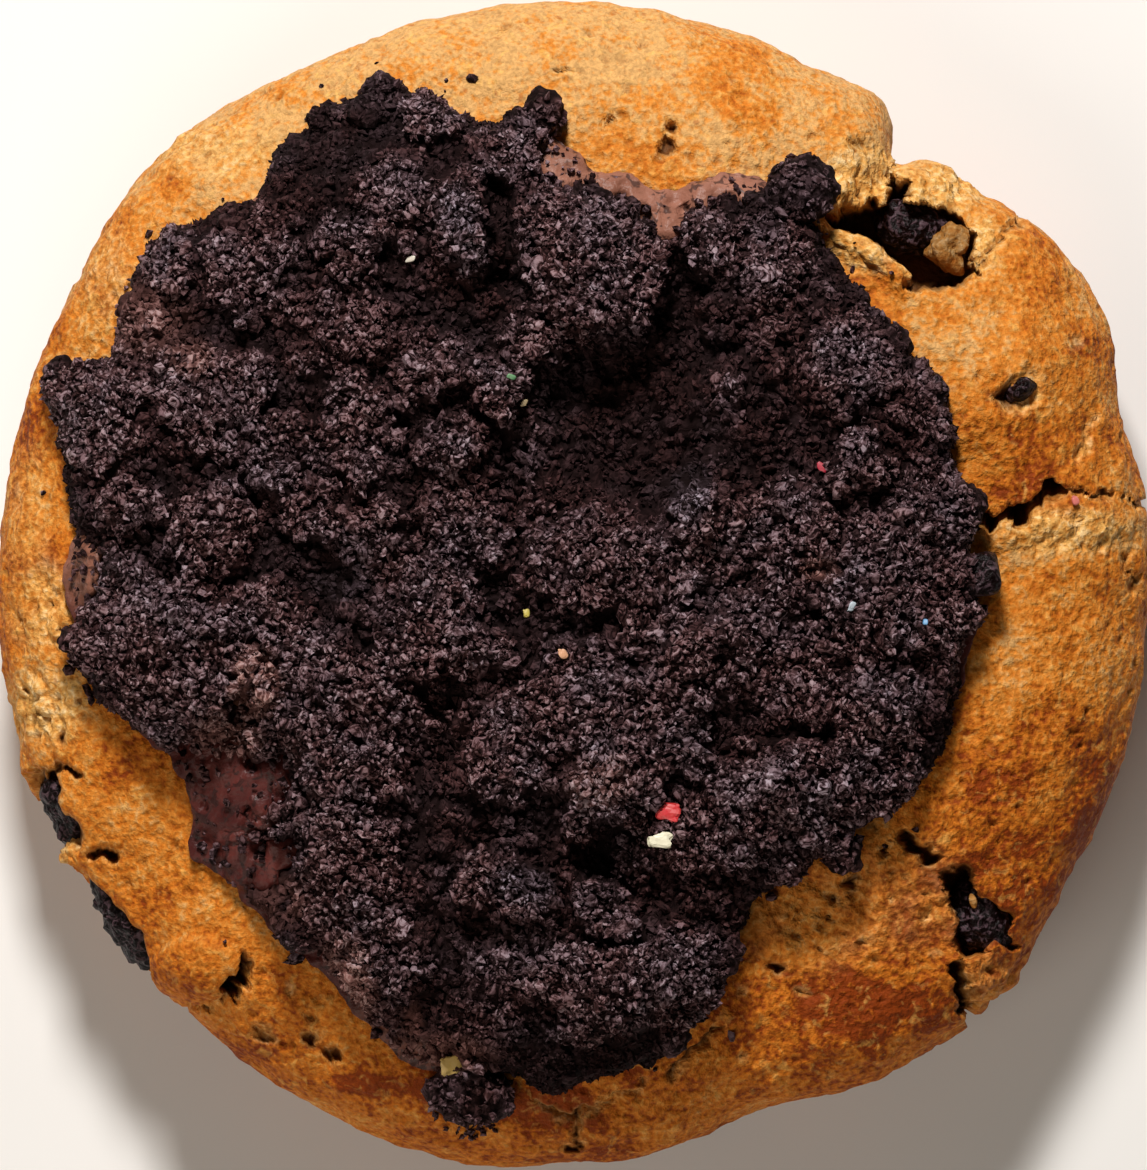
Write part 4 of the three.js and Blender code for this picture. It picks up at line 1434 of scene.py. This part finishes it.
def heap_form(x, y, share, clumps):
    """Height of the crumb heap with its clumps, before the grain of single crumbs."""
    full = rounded_rim(share)
    depth = HEAP_DEPTH - HEAP_RIM_DEPTH + table_sum(HEAP_MOUNDS, x, y) + clumps
    rise = SPREAD_DEPTH + 2 * LAYER_GAP + HEAP_RIM_DEPTH
    seat = crust_height(x, y) + rise * np.minimum(1, SEAT_RISE * full)
    return seat + np.maximum(depth * (1 - spread_shown(x, y)), LEAST_DEPTH) * full


def heap_top(x, y, share):
    return heap_form(x, y, share, clump_relief(x, y))


def at_least(least, share):
    """A share from 0 to 1 taken to the range from the least to 1."""
    return least + (1 - least) * share


def openness(x, y):
    """How open to the light points of the heap lie: 0 in gaps and hollows, 1 on the tops of clumps."""
    out_of_hollows = smooth_step(*OPEN_HOLLOWS, table_sum(HEAP_MOUNDS, x, y))
    return smooth_step(*OPEN_CLUMPS, clumps_at(x, y)) * at_least(HOLLOW_LIGHT, out_of_hollows)


def grain_tone(points, tone, tones):
    """Tone of crumbs from 0 to 1, with painted shade: pale on the tops of grains, and dark between them."""
    _, size, seed = HEAP_GRAINS[0]
    near, _ = grain(points, size, seed)
    return np.clip(tone - GRAIN_SHADE * near + uneven(points, tones), 0, 1)


def heap_grain(points):
    return grainy(points, HEAP_GRAINS)


def heap_masks(points):
    """Tone of the heap's core with painted shade, dark in its gaps and hollows, and the places with dust and
    painted sheen, and with smears of spread.
    """
    x, y, _ = points.T
    return {
        "shade": grain_tone(points, HEAP_TONE, HEAP_TONES) * at_least(GAP_LIGHT, openness(x, y)),
        "dust_and_sheen": area_sum(DUST_AND_SHEEN_AREAS, x, y),
        "smear": area_sum(SMEAR_AREAS, x, y),
    }


def make_heap(material):
    forms = (heap_radius, heap_top, heap_grain, heap_masks)
    heap = layer_piece("crumb_heap", HEAP_CELLS, *forms, material, "crumbs")
    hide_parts("crumb_topping")


# Clumps, shards and loose crumbs


def all_clumps(rng):
    """Centres, half sizes and turns in degrees of the big clumps and of those on the heap's rim."""
    around = rng.uniform(0, 360, RIM_CLUMPS)
    rim = around_heap(around, heap_radius(around) * rng.uniform(*RIM_CLUMP_SHARE, RIM_CLUMPS))
    rim = rim[spread_shown(*rim.T) < BARE_OF_CLUMPS]
    rim_halves = rng.uniform(*RIM_CLUMP_SIZES, (len(rim), 1)) * rng.uniform(*RIM_CLUMP_STRETCH, (len(rim), 3))
    big_places, big_halves, big_turns = (np.array(column) for column in zip(*CLUMPS))
    places = np.concatenate([big_places, rim])
    halves = np.concatenate([big_halves, rim_halves])
    turns = np.concatenate([big_turns, rng.uniform(0, 360, len(rim))])
    seat = np.where(heap_share(*places.T) < 1, heap_seat(*places.T), crust_height(*places.T))
    return np.column_stack([places, seat + CLUMP_SEAT * halves[:, 2]]), halves, turns


def make_clumps(clumps, material, rng):
    """The clumps themselves, with the grain of single crumbs."""
    centres, halves, turns = clumps
    points, faces = lumps(icosphere(CLUMP_SUBDIVISIONS), centres, halves, plan_turns(turns), 0, rng)
    push = uneven(points, CLUMP_LUMPS) + grainy(points, CLUMP_GRAINS)
    shaped = points + unit(from_centres(points, centres)) * push[:, None]
    masks = {
        # Painted shade between the grains of the clumps
        "shade": grain_tone(points, CLUMP_TONE, CLUMP_TONES),
        "dust_and_sheen": np.zeros(len(points)),
        "smear": area_sum(SMEAR_AREAS, *points.T[:2]),
    }
    new_piece("crumb_clumps", shaped, faces, material, "crumbs", **masks)


def make_shards(material, rng):
    """Smooth broken pieces of dark cookie at the heap's rim: blocks with rounded corners."""
    places, halves, turns = (np.array(column) for column in zip(*SHARDS))
    centres = np.column_stack([places, heap_seat(*places.T) + SHARD_SEAT * halves[:, 2]])
    ball, ball_faces = icosphere(CLUMP_SUBDIVISIONS)
    block = (blocky(ball, SHARD_ROUNDNESS), ball_faces)
    points, faces = lumps(block, centres, halves, plan_turns(turns), 0, rng)
    points = points + np.stack([uneven(points, warp) for warp in SHARD_WARPS], axis=1)
    new_piece("cookie_shards", points, faces, material, "chocolate")


def crumb_ground(x, y, clumps):
    """Height of what crumbs lie on: the heap or a clump on it, the spread beyond its rim, or the crust."""
    heap = heap_share(x, y)
    spread = spread_share(x, y)
    crust = np.stack([x, y, crust_height(x, y)], axis=1)
    relief, depth, _, _ = crust_relief(crust)
    height = np.where(spread < 1, spread_top(x, y, np.minimum(spread, 1)), crust[:, 2] + relief - depth)
    on_top = heap_form(x, y, np.minimum(heap, 1), clumps_at(x, y))
    height = np.where(heap < 1, np.maximum(height, on_top), height)
    for centre, half, turn in zip(*clumps):
        across, along = plan_turns(-turn)[0, :2, :2] @ np.stack([x - centre[0], y - centre[1]])
        away = (across / half[0]) ** 2 + (along / half[1]) ** 2
        top = centre[2] + half[2] * np.sqrt(np.maximum(0, 1 - away))
        height = np.maximum(height, np.where(away < 1, top, 0))
    return height


def places_in_plan(count, wanted, rng, draws=DRAWS):
    """Random places in plan, kept with the likelihood that a function of x and y gives."""
    drawn = HEAP_CENTRE + rng.uniform(-MAP_REACH, MAP_REACH, (draws * count, 2))
    return drawn[rng.uniform(0, 1, len(drawn)) < wanted(*drawn.T)][:count]


def on_heap(x, y):
    """Likelihood of a loose crumb on the heap, which is highest on the tops of clumps."""
    covered = 1 - BARE_ON_HEAP * spread_shown(x, y)
    return (heap_share(x, y) < 1) * covered * at_least(IN_GAPS, openness(x, y))


def on_clump(clumps):
    """Likelihood of a loose crumb on a clump, as a function of x and y."""
    centres, halves, _ = clumps

    def wanted(x, y):
        near = [np.hypot(x - centre[0], y - centre[1]) < half[0] for centre, half in zip(centres, halves)]
        return np.any(near, axis=0).astype(float)

    return wanted


def on_pool(x, y):
    """Likelihood of a crumb on the bare spread, highest close to the heap."""
    heap = heap_share(x, y)
    close = np.exp(-POOL_THINNING * np.maximum(0, heap - 1))
    covered = close * (1 - CLEAN_POOL * smooth_step(*CLEAN_POOL_RUN, y))
    in_pool = (heap > POOL_FROM) * (spread_share(x, y) < POOL_TO)
    return in_pool * covered * (1 - BARE_ON_POOL * spread_shown(x, y))


def beside_heap(x, y):
    """Likelihood of a spilt crumb on the crust."""
    edge = np.hypot(x, y) / edge_radius(degrees_of(x, y))
    on_crust = (spread_share(x, y) > SPILT_FROM) * (edge < SPILT_TO)
    return on_crust * np.exp(-SPILT_THINNING * np.maximum(0, heap_share(x, y) - 1))


def places_on_rim(rng):
    """Places on the heap's steep side, even over its height."""
    around = rng.uniform(0, 360, RIM_CRUMBS)
    share = (1 - rng.uniform(0, 1, RIM_CRUMBS) ** 2) ** (1 / HEAP_EDGE_POWER)
    places = around_heap(around, share * heap_radius(around))
    return places[spread_shown(*places.T) < rng.uniform(BARE_RIM, 1, len(places))]


def octahedron():
    """Points and triangles of the plainest ball, for the finest crumbs."""
    axes = np.concatenate([np.eye(3), -np.eye(3)])
    faces = np.array([[0, 1, 2], [1, 3, 2], [3, 4, 2], [4, 0, 2], [1, 0, 5], [3, 1, 5], [4, 3, 5], [0, 4, 5]])
    return axes, faces


def make_crumbs(name, ball, places, sizes, seat, clumps, material, rng):
    """Loose crumbs, piled a little on the tops of clumps, with painted shade down in the gaps."""
    x, y = places.T
    sizes = sizes[: len(places)]
    light = np.where(heap_share(x, y) < 1, openness(x, y), LIGHT_BESIDE_HEAP)
    pile = np.minimum(rng.exponential(PILE, len(sizes)), PILE_TOP) * light
    centres = np.column_stack([places, crumb_ground(x, y, clumps) + seat * sizes + pile])
    halves = sizes[:, None] * rng.uniform(*CRUMB_STRETCH, (len(sizes), 3))
    points, faces = lumps(ball, centres, halves, random_turns(len(sizes), rng), CRUMB_ROUGHNESS, rng)
    masks = {
        "shade": rng.uniform(*CRUMB_TONE, len(sizes)) * at_least(GAP_TONE, light),
        "dust_and_sheen": area_sum(DUST_AND_SHEEN_AREAS, x, y),
        "smear": area_sum(SMEAR_AREAS, x, y),
    }
    masks = {mask: np.repeat(values, len(ball[0])) for mask, values in masks.items()}
    new_piece(name, points, faces, material, "crumbs", smooth=False, **masks)


# Chocolate and flecks


def make_chunk(node, half, turn, crumbly, material, seed):
    """A piece of chocolate in the place of its CAD node, with a broken, uneven surface."""
    low, high = (np.array(corner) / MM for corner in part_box(node))
    ball, faces = icosphere(CHUNK_SUBDIVISIONS)
    turned = plan_turns(turn)[0].T
    points = (low + high) / 2 + (blocky(ball, CHUNK_ROUNDNESS) * np.array(half)) @ turned
    push = uneven(points, (*CHUNK_LUMPS, seed)) + broken(points, *CHUNK_GRAIN, seed)
    push += grainy(points, [(*CHUNK_FINE_GRAIN, seed + FINE_SEED_STEP)])
    shaped = points + crumbly * (ball @ turned) * push[:, None]
    chunk = new_piece(node + "_piece", shaped, faces, material, "chocolate")
    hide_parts(node)


def make_flecks(clumps, material, rng):
    """Coloured bits lying on the crumbs: flat, uneven flakes."""
    places, halves, colours = (np.array(column, dtype=float) for column in zip(*FLECKS))
    x, y = places.T
    lift = np.where(heap_share(x, y) < 1, FLECK_LIFT, FLECK_LIFT_BESIDE)
    centres = np.column_stack([places, crumb_ground(x, y, clumps) + lift])
    tilt = FLECK_TILT * random_turns(len(FLECKS), rng)
    turns = tilt + plan_turns(rng.uniform(-FLECK_TURN, FLECK_TURN, len(FLECKS)))
    ball, ball_faces = icosphere(FLECK_SUBDIVISIONS)
    block = (blocky(ball, FLECK_ROUNDNESS), ball_faces)
    points, faces = lumps(block, centres, halves * FLECK_FLATNESS, turns, 0, rng)
    points = points + from_centres(points, centres) * broken(points, *FLECK_GRAIN)[:, None]
    flecks = new_piece("sugar_flecks", points, faces, material, "crumbs", smooth=False)
    opaque = np.column_stack([colours, np.ones(len(colours))])
    attribute = flecks.data.attributes.new("colour", "FLOAT_COLOR", "POINT")
    attribute.data.foreach_set("color", np.repeat(opaque, len(ball), axis=0).ravel())


# Stage


def make_floor():
    bpy.ops.mesh.primitive_plane_add(size=FLOOR_SIZE * MM)
    floor = bpy.context.object
    floor.name = "floor"
    floor.data.materials.append(floor_material())


def add_area_light(name, place, size, power, colour):
    """A soft square light that looks at the cookie."""
    light = bpy.data.lights.new(name, "AREA")
    light.size = size * MM
    light.energy = power
    light.color = colour
    lamp = bpy.data.objects.new(name, light)
    lamp.location = Vector(place) * MM
    lamp.rotation_euler = (Vector(LIGHT_AIM) * MM - lamp.location).to_track_quat("-Z", "Y").to_euler()
    bpy.context.scene.collection.objects.link(lamp)


def set_light():
    for name, light in LIGHTS.items():
        add_area_light(name, *light)
    world = bpy.data.worlds.new("soft studio")
    world.use_nodes = True
    background = world.node_tree.nodes["Background"]
    background.inputs["Color"].default_value = (*STUDIO_COLOUR, 1)
    background.inputs["Strength"].default_value = STUDIO_LIGHT
    bpy.context.scene.world = world
    bpy.context.scene.view_settings.view_transform = "Standard"


def set_camera():
    """Straight above, with the cookie at the photograph's place and size."""
    camera = bpy.data.cameras.new("camera")
    view = bpy.data.objects.new("camera", camera)
    middle_x = (PHOTO_PIXELS[0] / 2 - COOKIE_MIDDLE_PIXEL[0]) / PHOTO_PIXELS_PER_MM
    middle_y = (COOKIE_MIDDLE_PIXEL[1] - PHOTO_PIXELS[1] / 2) / PHOTO_PIXELS_PER_MM
    view.location = (middle_x * MM, middle_y * MM, CAMERA_HEIGHT * MM)
    camera.sensor_width = SENSOR
    camera.lens = SENSOR * (CAMERA_HEIGHT - WAIST_HEIGHT) / (max(PHOTO_PIXELS) / PHOTO_PIXELS_PER_MM)
    camera.clip_start = NEAREST_SEEN * MM
    bpy.context.scene.collection.objects.link(view)
    bpy.context.scene.camera = view


crust = crust_material()
crumbs = crumb_material()
chocolate = chocolate_material()
rng = np.random.default_rng(CRUMB_SEED)

make_cookie(crust)
make_dough_bits(crust)
make_spread(spread_material())
make_heap(crumbs)
clumps = all_clumps(rng)
make_clumps(clumps, crumbs, rng)
make_shards(chocolate, rng)

fine_sizes = uneven_sizes(FINE_CRUMBS, *FINE_SIZES, rng)
fine_places = places_in_plan(FINE_CRUMBS, on_heap, rng)
make_crumbs("fine_crumbs", octahedron(), fine_places, fine_sizes, FINE_SEAT, clumps, crumbs, rng)

grit = icosphere(CRUMB_SUBDIVISIONS)
coarse_sizes = uneven_sizes(COARSE_CRUMBS, *COARSE_SIZES, rng)
coarse_places = places_in_plan(COARSE_CRUMBS, on_heap, rng)
make_crumbs("coarse_crumbs", grit, coarse_places, coarse_sizes, COARSE_SEAT, clumps, crumbs, rng)

rim_places = np.concatenate([places_on_rim(rng), places_in_plan(RIM_CRUMBS // 2, on_clump(clumps), rng)])
rim_sizes = uneven_sizes(2 * RIM_CRUMBS, *RIM_SIZES, rng)
make_crumbs("rim_crumbs", octahedron(), rim_places, rim_sizes, RIM_SEAT, clumps, crumbs, rng)

pool_places = places_in_plan(POOL_CRUMBS, on_pool, rng, POOL_DRAWS)
loose_places = np.concatenate([pool_places, places_in_plan(SPILT_CRUMBS, beside_heap, rng)])
loose_sizes = uneven_sizes(POOL_CRUMBS + SPILT_CRUMBS, *SPILT_SIZES, rng)
make_crumbs("spilt_crumbs", grit, loose_places, loose_sizes, SPILT_SEAT, clumps, crumbs, rng)

for index, (node_name, form) in enumerate(CHUNKS.items()):
    make_chunk(node_name, *form, chocolate, CHUNK_SEED + CHUNK_SEED_STEP * index)
make_flecks(clumps, fleck_material(), rng)

make_floor()
set_light()
set_camera()
